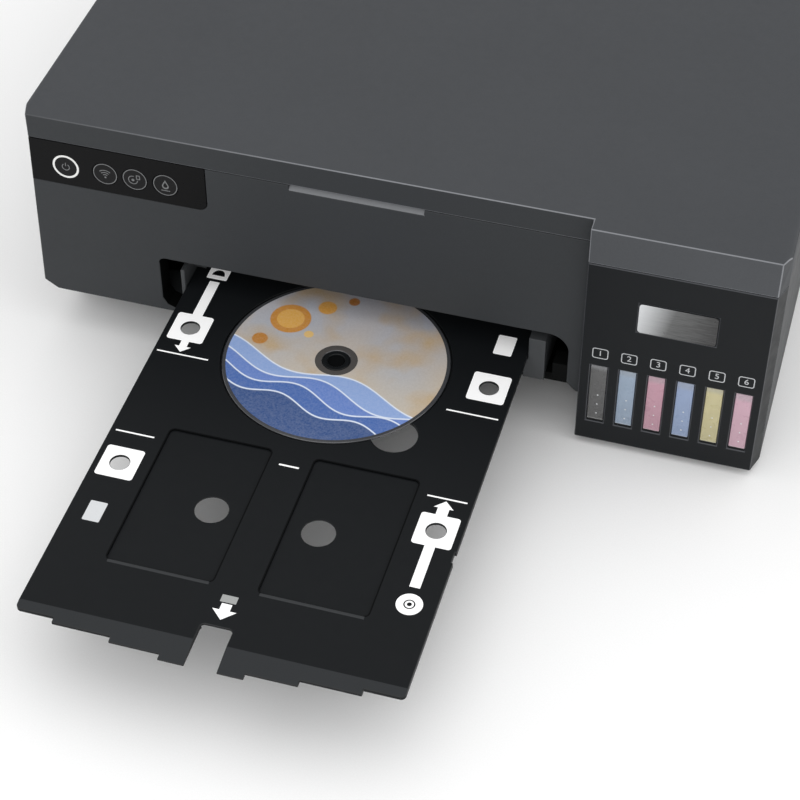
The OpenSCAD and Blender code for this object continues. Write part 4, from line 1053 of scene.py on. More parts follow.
def piece(
    name: str,
    mesh: Mesh,
    body: str,
    finish: Finish,
    stands_for: Sequence[str] = (),
) -> Object:
    """Puts a mesh in the scene as one piece.

    Args:
        name: Name of the piece.
        mesh: Its mesh, at its place.
        body: Body that it rides on.
        finish: Its finish.
        stands_for: Solids that it replaces.

    Returns:
        The object.
    """
    mesh.materials.clear()
    mesh.materials.append(finish.material())
    made = placed(name, mesh)
    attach(made, body)
    if stands_for:
        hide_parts(*stands_for)
    LOG.info("piece %s on %s", name, body)
    return made


def is_crease(edge: bmesh.types.BMEdge) -> bool:
    """Whether two faces meet in a crease, so that each is shaded by itself.

    Args:
        edge: Edge between the faces.

    Returns:
        True for a crease.
    """
    angle = edge.calc_face_angle(math.pi)
    if angle > ROUND_FROM:
        return True
    widths = [f.calc_area() / max(e.calc_length() for e in f.edges) for f in edge.link_faces]
    return angle > FLAT_UNDER and (min(widths) > WIDE_FACE or max(widths) > BROAD_FACE)


def shell(
    node: str, finish: Finish, radius: float, edge: Finish | None = None, steps: int = 3
) -> Object:
    """A solid's moulded look: a copy with rounded edges that stands for it.

    Args:
        node: Name of the solid.
        finish: Finish of its faces.
        radius: Radius of its edges.
        edge: Finish of the rounded edges, if it differs.
        steps: Number of steps across a rounded edge.

    Returns:
        The new piece.
    """
    shape = opened(NODES[node].data, gap=SOLID_GAP)
    bmesh.ops.dissolve_limit(shape, angle_limit=FLAT_UNDER, verts=shape.verts, edges=shape.edges)
    for face in shape.faces:
        face.smooth = True
    for bend in shape.edges:
        bend.smooth = not is_crease(bend)
    mesh = closed(shape, node + "_shell")
    made = piece(mesh.name, mesh, BODY_OF[node], finish, [node])
    if edge:
        mesh.materials.append(edge.material())
    bevel = made.modifiers.new("rounded edges", "BEVEL")
    bevel.width = radius * MM
    bevel.segments = steps
    bevel.limit_method = "ANGLE"
    bevel.angle_limit = ROUND_FROM
    bevel.use_clamp_overlap = False
    bevel.harden_normals = True
    bevel.material = 1 if edge else -1
    return made


def accent(
    made: Object, finish: Finish, way: Triple, region: Region, near: float = 0.95
) -> None:
    """Gives some faces of a piece another finish.

    Args:
        made: The piece.
        finish: Finish for the chosen faces.
        way: Way that the chosen faces point.
        region: Lower and upper corner of the region that holds their middles.
        near: Cosine of the widest angle from the way.
    """
    made.data.materials.append(finish.material())
    for face in made.data.polygons:
        inside = all(a * MM <= c <= b * MM for a, c, b in zip(region[0], face.center, region[1]))
        if inside and face.normal.dot(Vector(way).normalized()) > near:
            face.material_index = len(made.data.materials) - 1


def paint(node: str, finish: Finish) -> None:
    """Gives a solid that stays in view its finish.

    Args:
        node: Name of the solid.
        finish: Its finish.
    """
    solid = NODES[node]
    if not solid.material_slots:
        solid.data.materials.append(finish.material())
    for place in solid.material_slots:
        place.material = finish.material()
    LOG.info("solid %s in %s", node, finish.name)


# -------------------------------------------------------------- geometry nodes


class Growth:
    """Geometry Nodes trees for what repeats, each made once."""

    def __init__(self) -> None:
        """Starts with no trees."""
        self.trees: dict[str, Tree] = {}

    def start(self, name: str, **own: str) -> tuple[Tree, Any]:
        """Starts a tree that repeats something.

        Args:
            name: Name of the tree.
            **own: Type name of each input that only this tree has, by its label.

        Returns:
            The tree and the sockets of its inputs.
        """
        tree = bpy.data.node_groups.new(name, "GeometryNodeTree")
        tree.interface.new_socket("Geometry", in_out="OUTPUT", socket_type="NodeSocketGeometry")
        kinds = {"Geometry": "NodeSocketGeometry", "Count": "NodeSocketInt", "Step": "NodeSocketVector"}
        for label, kind in {**kinds, **own, "Material": "NodeSocketMaterial"}.items():
            tree.interface.new_socket(label, in_out="INPUT", socket_type=kind)
        self.trees[name] = tree
        return tree, add(tree, "NodeGroupInput").outputs

    def end(self, tree: Tree, given: Any, shape: Socket) -> None:
        """Ends a tree in copies of a shape along a line, as plain geometry of one material.

        Args:
            tree: Tree to end.
            given: Sockets of its inputs.
            shape: Shape to repeat.
        """
        inputs = {"Count": given["Count"], "Offset": given["Step"]}
        inputs = {"Points": add(tree, "GeometryNodeMeshLine", inputs).outputs[0], "Instance": shape}
        copies = add(tree, "GeometryNodeInstanceOnPoints", inputs).outputs[0]
        real = add(tree, "GeometryNodeRealizeInstances", {0: copies}).outputs[0]
        inputs = {"Geometry": real, "Material": given["Material"]}
        add(tree, "NodeGroupOutput", {0: add(tree, "GeometryNodeSetMaterial", inputs).outputs[0]})

    def row(self) -> Tree:
        """A tree that repeats a shape in equal steps along a line."""
        if "row" not in self.trees:
            tree, given = self.start("row")
            self.end(tree, given, given["Geometry"])
        return self.trees["row"]

    def tubes(self) -> Tree:
        """A tree that runs equal tubes side by side along a path of edges."""
        if "tubes" not in self.trees:
            tree, given = self.start("tubes", Radius="NodeSocketFloat")
            path = add(tree, "GeometryNodeMeshToCurve", {0: given["Geometry"]}).outputs[0]
            inputs = {"Resolution": 12, "Radius": given["Radius"]}
            circle = add(tree, "GeometryNodeCurvePrimitiveCircle", inputs).outputs[0]
            inputs = {"Curve": path, "Profile Curve": circle, "Fill Caps": True}
            tube = add(tree, "GeometryNodeCurveToMesh", inputs).outputs[0]
            self.end(tree, given, add(tree, "GeometryNodeSetShadeSmooth", {0: tube}).outputs[0])
        return self.trees["tubes"]

    def grow(
        self, tree: Tree, base: Mesh, finish: Finish, count: int, step: Triple, **own: Any
    ) -> Mesh:
        """Runs a tree on a mesh and returns the plain result.

        Args:
            tree: Tree to run.
            base: Mesh that it starts from; it is removed.
            finish: Finish of the result.
            count: Number of copies.
            step: Way from one copy to the next.
            **own: Values of the inputs that only this tree has.

        Returns:
            The new mesh.
        """
        holder = placed(base.name, base)
        run = holder.modifiers.new("grow", "NODES")
        run.node_group = tree
        given = {"Count": count, "Step": tuple(v * MM for v in step), **own}
        given["Material"] = finish.material()
        for item in tree.interface.items_tree:
            if item.in_out == "INPUT" and item.name in given:
                run[item.identifier] = given[item.name]
        mesh = settled(holder)
        bpy.data.meshes.remove(base)
        return mesh

    def rowed(self, base: Mesh, finish: Finish, count: int, step: Triple) -> Mesh:
        """A mesh repeated in a row, in one finish."""
        return self.grow(self.row(), base, finish, count, step)


GROWTH = Growth()


# ------------------------------------------------------------------- assemblies


@dataclass
class Housing:
    """Covers, base, feet and what the back shows."""

    edge: float = 0.6
    foot_edge: float = 0.7
    top_edge: float = 0.48
    vents: int = 12
    vent_pitch: float = 8.0
    vent_left: float = -20.0
    vent_z: Pair = (60.0, 84.0)
    slat: Pair = (3.4, 0.9)
    slat_turn: float = 28.0
    slat_inset: float = 4.4
    back: float = 301.2
    screw_x: float = 187.5
    screw_z: Pair = (16.0, 118.0)
    screw_r: float = 3.0
    cross: Pair = (1.7, 0.55)
    opening: Region = ((-137.0, -59.3, 28.0), (100.0, -20.0, 66.0))
    recess: Region = ((-200.0, -70.0, 128.0), (100.0, 0.0, 150.0))

    def build(self) -> None:
        """Builds every piece of the housing."""
        shell("base_tub", BASE_ABS, self.edge)
        shell("rubber_feet", FOOT_RUBBER, self.foot_edge)
        cover = shell("front_cover", FRONT_ABS, self.edge)
        # The cover's faces inside the opening are painted near black, as painted shade
        accent(cover, OPENING_SHADE, (0, 0, 1), self.opening, ANY_WAY)
        # The finger recess's slope is painted pale, as a painted highlight
        accent(cover, RECESS_HIGHLIGHT, (0, -0.7, 0.7), self.recess)
        shell("left_side_cover", FRONT_ABS, self.edge)
        shell("right_side_cover", SIDE_ABS, self.edge)
        shell("rear_cover", REAR_ABS, self.edge)
        shell("rear_top_cover", LID_ABS, self.top_edge, LID_EDGE_HIGHLIGHT)
        self.louvres()
        self.screws()

    def louvres(self) -> None:
        """Sloped slats behind the vents."""
        deep, thick = self.slat
        x, y = self.vent_left + 0.2, self.back - self.slat_inset
        low, high = self.vent_z
        slat = block("slat", (x, y, low - 1), (x + deep, y + thick, high + 1), 0.3)
        middle = Matrix.Translation(Vector((x + deep / 2, y + 0.4, 0)) * MM)
        turn = Matrix.Rotation(math.radians(self.slat_turn), 4, "Z")
        slat.transform(middle @ turn @ middle.inverted())
        grown = GROWTH.rowed(slat, REAR_ABS, self.vents, (self.vent_pitch, 0, 0))
        piece("vent_louvres", grown, "housing", REAR_ABS)

    def screws(self) -> None:
        """Pan heads with a cross recess, in place of the plain ones."""
        arm, wide = self.cross
        quarter = [(wide, -arm), (wide, -wide), (arm, -wide)]
        recess: Loop = []
        for _ in range(4):
            recess += quarter
            quarter = [(-y, x) for x, y in quarter]
        r = self.screw_r
        spot = (-self.screw_x, self.screw_z[0])
        rim, foot = (Facing.BACK.place(self.back - depth, *spot) for depth in (0.42, 0.6))
        ring = filled("screw ring", [disc_loop(0, 0, r - 0.25), recess], 0.5, rim)
        dome = [(0.0, -0.5), (r, -0.5), (r, 0.05), (r - 0.3, 0.35), (0.0, -0.2)]
        head = turned("screw head", dome, foot, 32, whole=False)
        thread = [(0.0, -10), (1.2, -10), (1.5, -9), (1.5, -0.4), (0, -0.4)]
        shaft = turned("screw shaft", thread, foot, 24, whole=False)
        one = joined("screw", [head, ring, shaft])
        pair = GROWTH.rowed(one, SCREW_STEEL, 2, (2 * self.screw_x, 0, 0))
        four = GROWTH.rowed(pair, SCREW_STEEL, 2, (0, 0, self.screw_z[1] - self.screw_z[0]))
        piece("rear_screw_heads", four, "housing", SCREW_STEEL, ["cover_screws"])


@dataclass
class Lid:
    """The lid over the works, with its rounded front edge."""

    edge: float = 0.48
    front: Region = ((-210.0, -70.0, 130.0), (103.5, -50.0, 150.0))
    band: Region = ((103.5, -70.0, 120.0), (210.0, -60.0, 150.0))

    def build(self) -> None:
        """Builds the lid; its front faces are painted darker than its top, as painted shade, and those
        over the tanks lighter, as painted light.
        """
        lid = shell("printer_lid", LID_ABS, self.edge, LID_EDGE_HIGHLIGHT)
        # The lid's front faces take the cover's darker colour, as painted shade
        accent(lid, FRONT_ABS, (0, -1, 0), self.front)
        # The front faces over the tanks take a lighter copy, as painted light
        accent(lid, BAND_ABS_LIT, (0, -1, 0), self.band)


@dataclass
class ControlPanel:
    """Gloss panel with a lit power button and three plain ones."""

    face: float = -59.7
    height: float = 118.5
    keys: tuple[str, ...] = ("power", "network", "disc", "cleaning")
    centres: tuple[float, ...] = (-178.7, -156.6, -140.0, -123.0)
    edge: float = 0.35
    key_edge: float = 0.3
    film: float = 0.12
    film_lift: float = 0.08
    line: float = 0.45
    key_ring: float = 6.4
    power_ring: Pair = (6.8, 1.15)

    def build(self) -> None:
        """Builds the panel, its buttons and their marks."""
        shell("control_panel", PANEL_GLOSS, self.edge)
        for key in self.keys:
            shell(f"{key}_button", BUTTON_GLOSS, self.key_edge)
        self.mark("power_ring", 0, self.ring(*self.power_ring), POWER_RING, "button_white")
        self.mark("power_icon", 0, self.power_loops())
        signs = (self.network_loops(), self.disc_loops(), self.drop_loops())
        for number, loops in enumerate(signs, 1):
            loops = [*self.ring(self.key_ring, self.line), *loops]
            self.mark(f"{self.keys[number]}_icon", number, loops)

    def mark(
        self,
        name: str,
        number: int,
        loops: Sequence[Loop],
        finish: Finish = LINE_PRINT,
        slot: str = "button_gloss",
    ) -> None:
        """Prints loops on the face of one button.

        Args:
            name: Name of the piece.
            number: Number of the button, from zero.
            loops: Outlines about the button's middle.
            finish: Finish of the print.
            slot: Material slot of the record; not used.
        """
        place = Facing.FRONT.place(self.face + self.film_lift, self.centres[number], self.height)
        piece(name, filled(name, loops, self.film, place), f"{self.keys[number]}_key", finish)

    def ring(self, radius: float, width: float) -> list[Loop]:
        """Two circles that hold a ring between them."""
        return [disc_loop(0, 0, radius + way * width / 2, 64) for way in (1, -1)]

    def power_loops(self) -> list[Loop]:
        """A broken ring with a bar at its top."""
        return [arc_loop(0, -0.2, 2.0, self.line, 125, 415), box_loop(0, 1.5, self.line, 2.2)]

    def network_loops(self) -> list[Loop]:
        """Three arcs over a dot."""
        arcs = [arc_loop(0, -2.2, r, self.line, 50, 130) for r in (1.8, 3.2, 4.6)]
        return [disc_loop(0, -2.2, 0.55, 20), *arcs]

    def disc_loops(self) -> list[Loop]:
        """A disc with its hole, and a small sheet beside it."""
        disc = [arc_loop(-1.0, -0.4, 2.5, self.line, 75, 360), disc_loop(-1.0, -0.4, 0.8, 20)]
        return [*disc, box_loop(2.0, 1.7, 2.2, 2.8, 0.3), box_loop(2.0, 1.7, 1.3, 1.9, 0.2)]

    def drop_loops(self) -> list[Loop]:
        """A drop over a line."""
        drop = [*on_circle(0, -0.6, 1.9, range(-210, 31, 15)), (0.0, 3.4)]
        inner = [(x * 0.62, -0.1 + (y + 0.1) * 0.62) for x, y in drop]
        return [drop, inner, box_loop(0, -3.5, 5.0, self.line)]


@dataclass
class TankUnit:
    """The ink tank unit: its face, windows, labels, badge plate and tanks."""

    face: float = -67.8
    first: float = 113.6
    pitch: float = 15.13
    count: int = 6
    window_w: float = 9.2
    low: float = 18.3
    high: float = 58.7
    label_z: float = 67.8
    label_w: float = 8.4
    label_h: float = 7.0
    digit: float = 5.2
    film: float = 0.1
    edge: float = 0.6
    cap_edge: float = 0.7
    # How far behind the face each piece starts and ends
    window_y: Pair = (0.5, 1.35)
    shade_sill_y: Pair = (0.9, 1.9)
    # Level dots: shift from the window's middle, radius, height of the first one and step
    dots: tuple[float, ...] = (0.5, 0.42, 6.0, 6.6)
    badge: Pair = (131.0, 87.7)
    badge_size: Pair = (40.3, 19.2)
    inks: tuple[str, ...] = ("#555555", "#8c9bad", "#b48b99", "#8797b4", "#b7af88", "#bc9aa7")
    levels: tuple[float, ...] = (56.0, 55.0, 54.5, 54.0, 55.5, 54.0)
    caps: tuple[str, ...] = ("#4c4d4e", "#7f98b8", "#b0708a", "#5277b8", "#c0ad55", "#c98fa5")

    def build(self) -> None:
        """Builds every piece of the unit."""
        # The tank face's rounded edges get a paler copy of its finish, as a painted highlight
        shell("tank_panel", TANK_BLACK, self.edge, TANK_EDGE_HIGHLIGHT)
        (x, z), (wide, high) = self.badge, self.badge_size
        # Foil of the badge: pale at its upper left, where it mirrors the lit room
        foil = Faded(
            "badge_foil_metallised", "#d4d6d8", 0.32, start=(x, 0, z + high), span=(wide, 0, -high * 0.5)
        )
        shell("badge_plate", foil, 0.25)
        for number in range(self.count):
            self.window(number)
            self.label(number)
            shell(f"ink_tank_{number + 1}", TANK_CLEAR, self.edge)
            cap = Moulded(f"cap_elastomer_{number + 1}", self.caps[number], 0.5)
            shell(f"tank_cap_{number + 1}", cap, self.cap_edge)
        self.shade_sills()
        self.inside_ink()

    def middle(self, number: int) -> float:
        """X of the middle of one tank."""
        return self.first + number * self.pitch

    def window(self, number: int) -> None:
        """One milky window with its level marks.

        Args:
            number: Number of the tank, from zero.
        """
        x, half, name = self.middle(number), self.window_w / 2 - 0.25, f"ink_window_{number + 1}"
        near, far = (self.face + y for y in self.window_y)
        low, high = (x - half, near, self.low + 1.3), (x + half, far, self.high - 0.3)
        finish = Window(
            f"window_polypropylene_{number + 1}", self.inks[number], 0.3, self.low, self.levels[number]
        )
        piece(name, block(name, low, high, 0.4), "housing", finish)
        shift, radius, first, step = self.dots
        place = Facing.FRONT.place(near - 0.02, x, self.low + first)
        dot = filled("level mark", [disc_loop(shift, 0, radius, 16)], self.film, place)
        marks = GROWTH.rowed(dot, GREY_PRINT, 3, (0, 0, step))
        piece(f"level_marks_{number + 1}", marks, "housing", GREY_PRINT)

    def shade_sills(self) -> None:
        """A dark sill under each window, painted shade in the gap below it."""
        half = self.window_w / 2 - 0.05
        near, far = (self.face + y for y in self.shade_sill_y)
        low, high = (self.first - half, near, self.low + 0.02), (self.first + half, far, self.low + 1.2)
        grown = GROWTH.rowed(block("sill", low, high, 0.15), INNER_PS, self.count, (self.pitch, 0, 0))
        piece("window_shade_sills", grown, "housing", INNER_PS)

    def label(self, number: int) -> None:
        """A frame with the tank's number over its window.

        Args:
            number: Number of the tank, from zero.
        """
        place = Facing.FRONT.place(self.face - 0.03, self.middle(number), self.label_z)
        # How much less than the label each outline measures, and its corner radius
        rims = ((0.0, 1.4), (1.0, 1.0))
        loops = [box_loop(0, 0, self.label_w - less, self.label_h - less, r) for less, r in rims]
        parts = [
            filled("label frame", loops, self.film, place),
            lettered("label number", str(number + 1), self.digit, self.film, place),
        ]
        piece(f"tank_label_{number + 1}", joined("label", parts), "housing", LABEL_PRINT)

    def inside_ink(self) -> None:
        """Colours the ink in each tank."""
        low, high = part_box("tank_inks")
        LOG.info("ink from %.3f to %.3f", low.x, high.x)
        shape = opened(NODES["tank_inks"].data, gap=SOLID_GAP)
        for face in shape.faces:
            tank = round((face.calc_center_median().x / MM - self.first) / self.pitch)
            face.material_index = max(0, min(self.count - 1, tank))
        fills = [Ink(f"ink_fill_{n}", colour, 0.12) for n, colour in enumerate(self.caps, 1)]
        mesh = closed(shape, "tank_inks_fill")
        made = piece(mesh.name, mesh, "housing", fills[0], ["tank_inks"])
        for fill in fills[1:]:
            made.data.materials.append(fill.material())


@dataclass
class DiscTray:
    """The tray with its printed marks, and the disc that it carries."""

    path_x: float = -21.5
    disc_y: float = -90.9
    top: float = 48.2
    film: float = 0.08
    disc_r: float = 60.0
    hole_r: float = 7.5
    bore_r: float = 4.9
    # The pad in the hub's bore, painted near black as painted shade: how far under the top it lies, and
    # its thickness
    pad: Pair = (1.5, 0.6)
    thick: float = 1.2
    chamfer: float = 0.25
    print_out: float = 58.1
    print_in: float = 11.3
    pocket_x: float = 38.5
    pocket_y: float = 161.5
    pocket_w: float = 54.9
    pocket_l: float = 91.0
    pocket_deep: float = 1.0
    pocket_r: float = 3.0
    # Width of the dark ring round each pocket, drawn as painted shade
    shade_ring: float = 0.7
    # A pocket's near rim: inset at its ends, way out and in, depth and rise
    rim: tuple[float, ...] = (1.6, 1.6, 0.2, 0.5, 0.16)
    edge: float = 0.3
    lip: Region = ((-200.0, -310.0, 40.0), (100.0, -280.0, 50.0))
    # The lip's face leans to the near end, by a little more than the plate's top
    lip_way: Triple = (0.0, -0.13, 0.99)
    lip_near: float = 0.998

    def build(self) -> None:
        """Builds the tray, its marks and the disc."""
        # The tray's rounded edges are painted a hair darker than its plate, as faint painted shade
        tray = shell("disc_tray", TRAY_PS, self.edge, TRAY_EDGE_SHADE, 2)
        # The lip's faces get a lighter copy of the plate's finish, as a painted sheen
        accent(tray, TRAY_LIP_SHEEN, self.lip_way, self.lip, self.lip_near)
        place = self.at(self.top + self.film / 2 - 0.01)
        white = stencil("tray marks", self.white(), self.film, place)
        # The white marks glow a little, as painted light
        piece("tray_marks_white", white, "tray", WHITE_PRINT_SELF_LIT)
        for name, finish, loop in (
            ("grey", GREY_PRINT, box_loop(-81.8, -134.5, 8.9, 13.0, 0.6)),
            # Grey patch by the notch arrow, as painted shade where a slot shows the floor
            ("slot_shade", SLOT_SHADE_PATCH, box_loop(0, -169.0, 8.0, 4.4, 0.3)),
        ):
            mark = filled(name, [loop], self.film, place)
            piece(f"tray_mark_{name}", mark, "tray", finish)
        self.rims()
        depth, thick = self.pad
        # A near-black pad that closes the hub's bore, as painted shade
        bore = filled("hub shade pad", [disc_loop(0, 0, self.bore_r)], thick, self.at(self.top - depth))
        piece("hub_pad_painted_shade", bore, "tray", TRAY_SHADE)
        self.disc()

    def at(self, height: float) -> Matrix:
        """Matrix of a drawing about the disc's middle, at a height."""
        return Facing.TOP.place(height, self.path_x, self.disc_y)

    def rims(self) -> None:
        """Dark rings round the card pockets, painted shade along their walls, and raised near rims in a
        paler finish, as painted highlights.
        """
        for side, name in ((-1, "left"), (1, "right")):
            x, y = side * self.pocket_x, self.pocket_l / 2 - self.pocket_y
            wide, long, r = self.pocket_w, self.pocket_l, self.pocket_r
            loops = [box_loop(x, y, wide + g, long + g, r + g / 2) for g in (self.shade_ring, -self.shade_ring)]
            middle = self.at(self.top - self.pocket_deep / 2)
            edge = filled("pocket shade ring", loops, self.pocket_deep + 0.06, middle)
            # A near-black ring along the pocket's walls, as painted shade
            piece(f"pocket_shade_ring_{name}", edge, "tray", TRAY_SHADE)
            inset, out, back, depth, rise = self.rim
            x, y, half = self.path_x + x, self.disc_y - self.pocket_y, wide / 2 - inset
            low, high = (x - half, y - out, self.top - depth), (x + half, y + back, self.top + rise)
            rim = block("pocket rim", low, high, 0.15)
            # Raised near rim in a paler finish, as a painted highlight
            piece(f"pocket_rim_{name}", rim, "tray", TRAY_RIM_HIGHLIGHT)

    def white(self) -> list[list[Loop]]:
        """Outlines of the white marks, measured from the disc's middle.

        Returns:
            The outlines of each mark, the outer one and its holes.
        """
        squares = ((-82.1, -100.4), (-82.1, 2.1), (82.1, -100.4), (82.1, 2.1))
        # Ends and height of the thin lines
        lines = ((-92.4, -71.7, -79.5), (71.7, 92.1, -78.9), (-93.2, -64.7, -18.6), (65, 92.4, -18.9))
        arch = on_circle(0, 0, 1, [11.25 * i for i in range(17)])
        half = [(-81.9 + 3.6 * x, 45.6 + 4.6 * y) for x, y in arch]
        return [
            *([box_loop(x, y, 20, 20.7, 1.6), disc_loop(x, y, 5.3)] for x, y in squares),
            [box_loop(82.35, 35.4, 9.9, 14.8, 0.8)],
            *([box_loop((left + right) / 2, y, right - left, 0.9)] for left, right, y in lines),
            [box_loop(0, -79.4, 10.4, 1.0)],
            # Arrow out of the near right square, its stem and the round mark below
            [arrow_loop(81.8, -90.1, -80.5, 5.8, 10.0)],
            [box_loop(81.85, -124.2, 5.3, 27.0)],
            [disc_loop(82.3, -148.3, r) for r in (6.5, 2.9)],
            [disc_loop(82.3, -148.3, r) for r in (2.2, 1.2)],
            # Stem and half-round mark above the far left square, arrow below it
            [box_loop(-81.9, 25.9, 5.6, 29.0)],
            [box_loop(-81.9, 47.8, 11.4, 10.4, 0.6), half],
            [arrow_loop(-81.1, -8.2, -16.7, 4.2, 9.0)],
            # Arrow at the hand notch
            [arrow_loop(0.0, -172.0, -181.8, 5.2, 12.0)],
        ]

    def disc(self) -> None:
        """The disc: clear body, printed face and hub."""
        place = self.at(self.top - self.thick)
        # Radius, hole, chamfer, thickness and where the print starts
        r, h, c, t, p = self.disc_r, self.hole_r, self.chamfer, self.thick, self.print_in
        profile = [
            (h + c, 0), (r - c, 0), (r, c), (r, t - c), (r - c, t - 0.01),
            (p + 5.6, t - 0.01), (h + c, t - 0.01), (h, t - c), (h, c),
        ]
        blank = turned("disc blank", profile, place, 160)
        piece("disc_blank", blank, "disc", DISC_CLEAR, ["label_disc"])
        hub = [
            (h + 0.3, t - 0.02), (p - 0.1, t - 0.02), (p - 0.1, t + 0.005), (p - 0.6, t + 0.06),
            (h + 0.9, t + 0.06), (h + 0.3, t),
        ]
        piece("disc_hub_ring", turned("disc hub", hub, place), "disc", DISC_HUB)
        loops = [disc_loop(0, 0, self.print_out, 160), disc_loop(0, 0, p, 96)]
        art = DiscArt("disc_inkjet_print", "#ada48f", 0.4, (self.path_x, self.disc_y, self.top))
        face = filled("disc print", loops, 0.05, self.at(self.top))
        piece("disc_printed_face", face, "disc", art)


@dataclass
class Mechanism:
    """Works under the lid: rollers, gears, carriage, belt and ink tubes."""

    tooth: float = 2.0
    tube_step: float = 1.96
    tube_r: float = 0.98

    def build(self) -> None:
        """Builds every piece of the works."""
        shell("tray_guides", GUIDE_PS, 0.4)
        shell("output_tray", FRONT_ABS, 0.5, FRONT_EDGE_HIGHLIGHT)
        for node, finish, radius in (
            ("platen", INNER_PS, 0.3),
            ("carriage", CARRIAGE_PPE, 0.7),
            ("print_head", NOZZLE_PLATE, 0.3),
            ("capping_station", GUIDE_PS, 0.5),
            ("waste_ink_pad", PAD_FELT, 1.2),
            ("power_supply", SUPPLY_STEEL, 0.8),
            ("power_inlet", INLET_NYLON, 0.3),
            ("main_board", BOARD_GREEN, 0.2),
        ):
            shell(node, finish, radius)
        for node, finish in (
            ("steel_frame", FRAME_STEEL),
            ("feed_roller", ROLLER_STEEL),
            ("eject_roller", ROLLER_RUBBER),
            ("pinch_rollers", ROLLER_RUBBER),
            ("star_wheels", STAR_STEEL),
            ("idler_gear", GEAR_ACETAL),
            ("feed_motor", MOTOR_STEEL),
            ("motor_pinion", PINION_BRASS),
            ("carriage_motor", MOTOR_STEEL),
            ("motor_pulley", PULLEY_BRASS),
            ("idler_pulley", GEAR_ACETAL),
            ("timing_belt", BELT_RUBBER),
            ("encoder_strip", STRIP_FILM),
        ):
            paint(node, finish)
        self.belt_teeth()
        self.tubes()

    def belt_teeth(self) -> None:
        """Teeth inside the lower run of the belt."""
        low, high = (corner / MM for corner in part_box("timing_belt"))
        start, z = low.x + 8, low.z + 1.15
        count = int((high.x - 8 - start) / self.tooth)
        tooth = block("tooth", (start, low.y + 0.2, z), (start + 1, high.y - 0.2, z + 0.55))
        grown = GROWTH.rowed(tooth, BELT_RUBBER, count, (self.tooth, 0, 0))
        piece("belt_teeth", grown, "housing", BELT_RUBBER)

    def tubes(self) -> None:
        """Six tubes side by side along the ribbon's path."""
        low, high = (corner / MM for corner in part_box("ink_tube_ribbon"))
        near, far, z = low.y + 1.2, high.y - 1.2, low.z + 1.1
        radius = (far - near) / 2
        bend = high.x - 1.2 - radius
        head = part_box("carriage")[0].x / MM + 58
        turn = on_circle(bend, (near + far) / 2, radius, [90 - 11.25 * i for i in range(1, 16)])
        points = [(low.x, far), (bend, far), *turn, (bend, near), (head, near)]
        verts = [Vector((x, y, z)) * MM for x, y in points]
        mesh = bpy.data.meshes.new("tube path")
        mesh.from_pydata(verts, [(i, i + 1) for i in range(len(points) - 1)], [])
        step, radius = (0, 0, self.tube_step), self.tube_r * MM
        grown = GROWTH.grow(GROWTH.tubes(), mesh, TUBE_RUBBER, 6, step, Radius=radius)
        grown = cleaned(grown, smooth=True)
        piece("ink_tubes", grown, "housing", TUBE_RUBBER, ["ink_tube_ribbon"])


@dataclass
class Feeder:
    """Paper feeder at the back, with its support and edge guides."""

    def build(self) -> None:
        """Builds every piece of the feeder."""
        shell("feeder_frame", INNER_PS, 0.5)
        shell("paper_support", LID_ABS, 0.7, LID_EDGE_HIGHLIGHT)
        shell("edge_guide_left", GUIDE_ACETAL, 0.5)
        shell("edge_guide_right", GUIDE_ACETAL, 0.5)
        paint("pickup_roller", ROLLER_RUBBER)


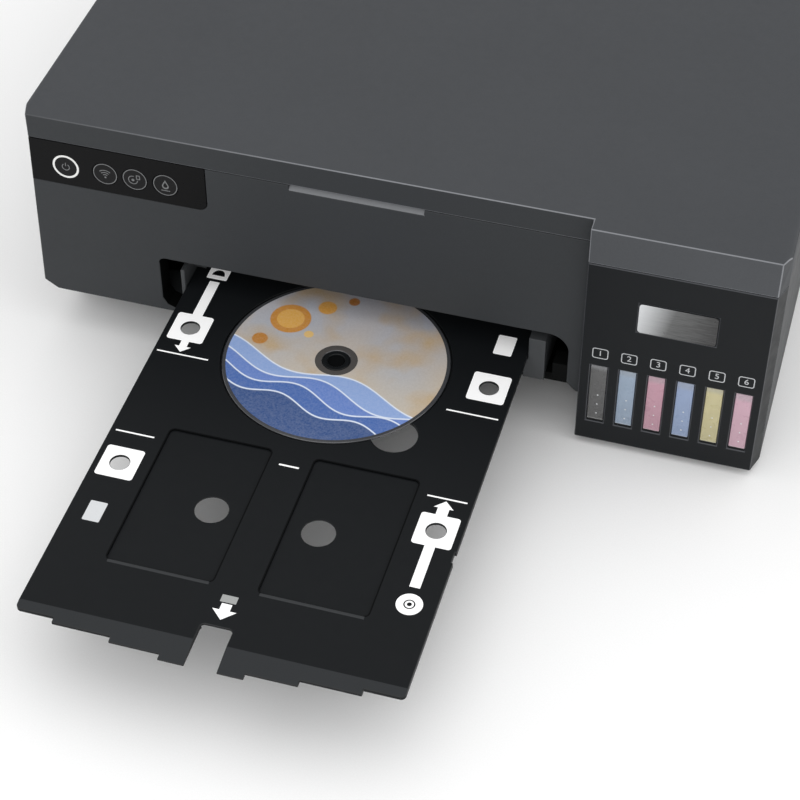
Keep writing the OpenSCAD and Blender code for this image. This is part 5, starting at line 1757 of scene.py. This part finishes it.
@dataclass
class Studio:
    """Pale floor, soft light and the camera; its lengths are in metres."""

    azimuth: float = 16.15
    elevation: float = 45.0
    lens: float = 96.7
    spot: Triple = (0.2364, -0.8614, 0.8306)
    fill: float = 0.84
    floor_half: float = 9.0

    def build(self) -> None:
        """Sets up the studio."""
        self.floor()
        self.world()
        # Name, place, aim, size and watts of each lamp
        for lamp in (
            ("key", (1.75, -0.15, 1.35), (0.05, 0.0, 0.05), 2.0, 8.0),
            ("top", (0.0, 0.1, 2.4), (0.0, 0.0, 0.0), 2.6, 10.0),
            ("front", (-0.2, -2.1, 1.3), (0.0, 0.0, 0.05), 2.4, 17.0),
        ):
            self.lamp(*lamp)
        self.camera()
        bpy.context.scene.view_settings.view_transform = "Standard"

    def floor(self) -> None:
        """A wide pale floor."""
        corners = [(x * self.floor_half, y * self.floor_half, 0) for x, y in box_loop(0, 0, 2, 2)]
        mesh = bpy.data.meshes.new("floor")
        mesh.from_pydata(corners, [], [(0, 1, 2, 3)])
        mesh.materials.append(Ink("floor_paper_white", "#f8f8f8", 0.7, texture=0.0).material())
        made = placed("floor", mesh)

    def world(self) -> None:
        """White to the eye and in reflections, and a weaker soft fill on surfaces."""
        world = bpy.data.worlds.new("studio")
        bpy.context.scene.world = world
        world.use_nodes = True
        tree = world.node_tree
        tree.nodes.clear()
        rays = add(tree, "ShaderNodeLightPath").outputs
        seen = rays["Is Camera Ray"]
        for other in ("Is Glossy Ray", "Is Transmission Ray"):
            seen = add(tree, MATH, {0: seen, 1: rays[other]}, operation="MAXIMUM").outputs[0]
        soft, white = (
            add(tree, "ShaderNodeBackground", {"Color": (1, 1, 1, 1), "Strength": s}).outputs[0]
            for s in (self.fill, 1.0)
        )
        both = add(tree, "ShaderNodeMixShader", {0: seen, 1: soft, 2: white}).outputs[0]
        add(tree, "ShaderNodeOutputWorld", {"Surface": both})

    def lamp(self, name: str, spot: Triple, aim: Triple, size: float, power: float) -> None:
        """Adds one soft lamp, in metres and watts, that looks at a point.

        Args:
            name: Name of the lamp.
            spot: Its place.
            aim: Point that it looks at.
            size: Length of its side.
            power: Its power.
        """
        light = bpy.data.lights.new(name, "AREA")
        light.shape = "SQUARE"
        light.size = size
        light.energy = power
        made = placed(name, light)
        made.location = spot
        made.rotation_euler = (Vector(aim) - Vector(spot)).to_track_quat("-Z", "Y").to_euler()

    def camera(self) -> None:
        """Adds the camera."""
        a, e = math.radians(self.azimuth), math.radians(self.elevation)
        ahead = Vector((-math.sin(a) * math.cos(e), math.cos(a) * math.cos(e), -math.sin(e)))
        lens = bpy.data.cameras.new("camera")
        lens.lens = self.lens
        lens.sensor_width = 36.0
        lens.clip_start, lens.clip_end = 0.01, 50.0
        made = placed("camera", lens)
        made.location = self.spot
        made.rotation_euler = ahead.to_track_quat("-Z", "Y").to_euler()
        bpy.context.scene.camera = made


def main() -> None:
    """Builds the printer piece by piece, then the studio round it."""
    logging.basicConfig(level=logging.INFO, format="%(message)s")
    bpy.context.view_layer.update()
    for kind in (Housing, Lid, ControlPanel, TankUnit, DiscTray, Mechanism, Feeder, Studio):
        LOG.info("building %s", kind.__name__)
        kind().build()


if __name__ == "__main__":
    main()
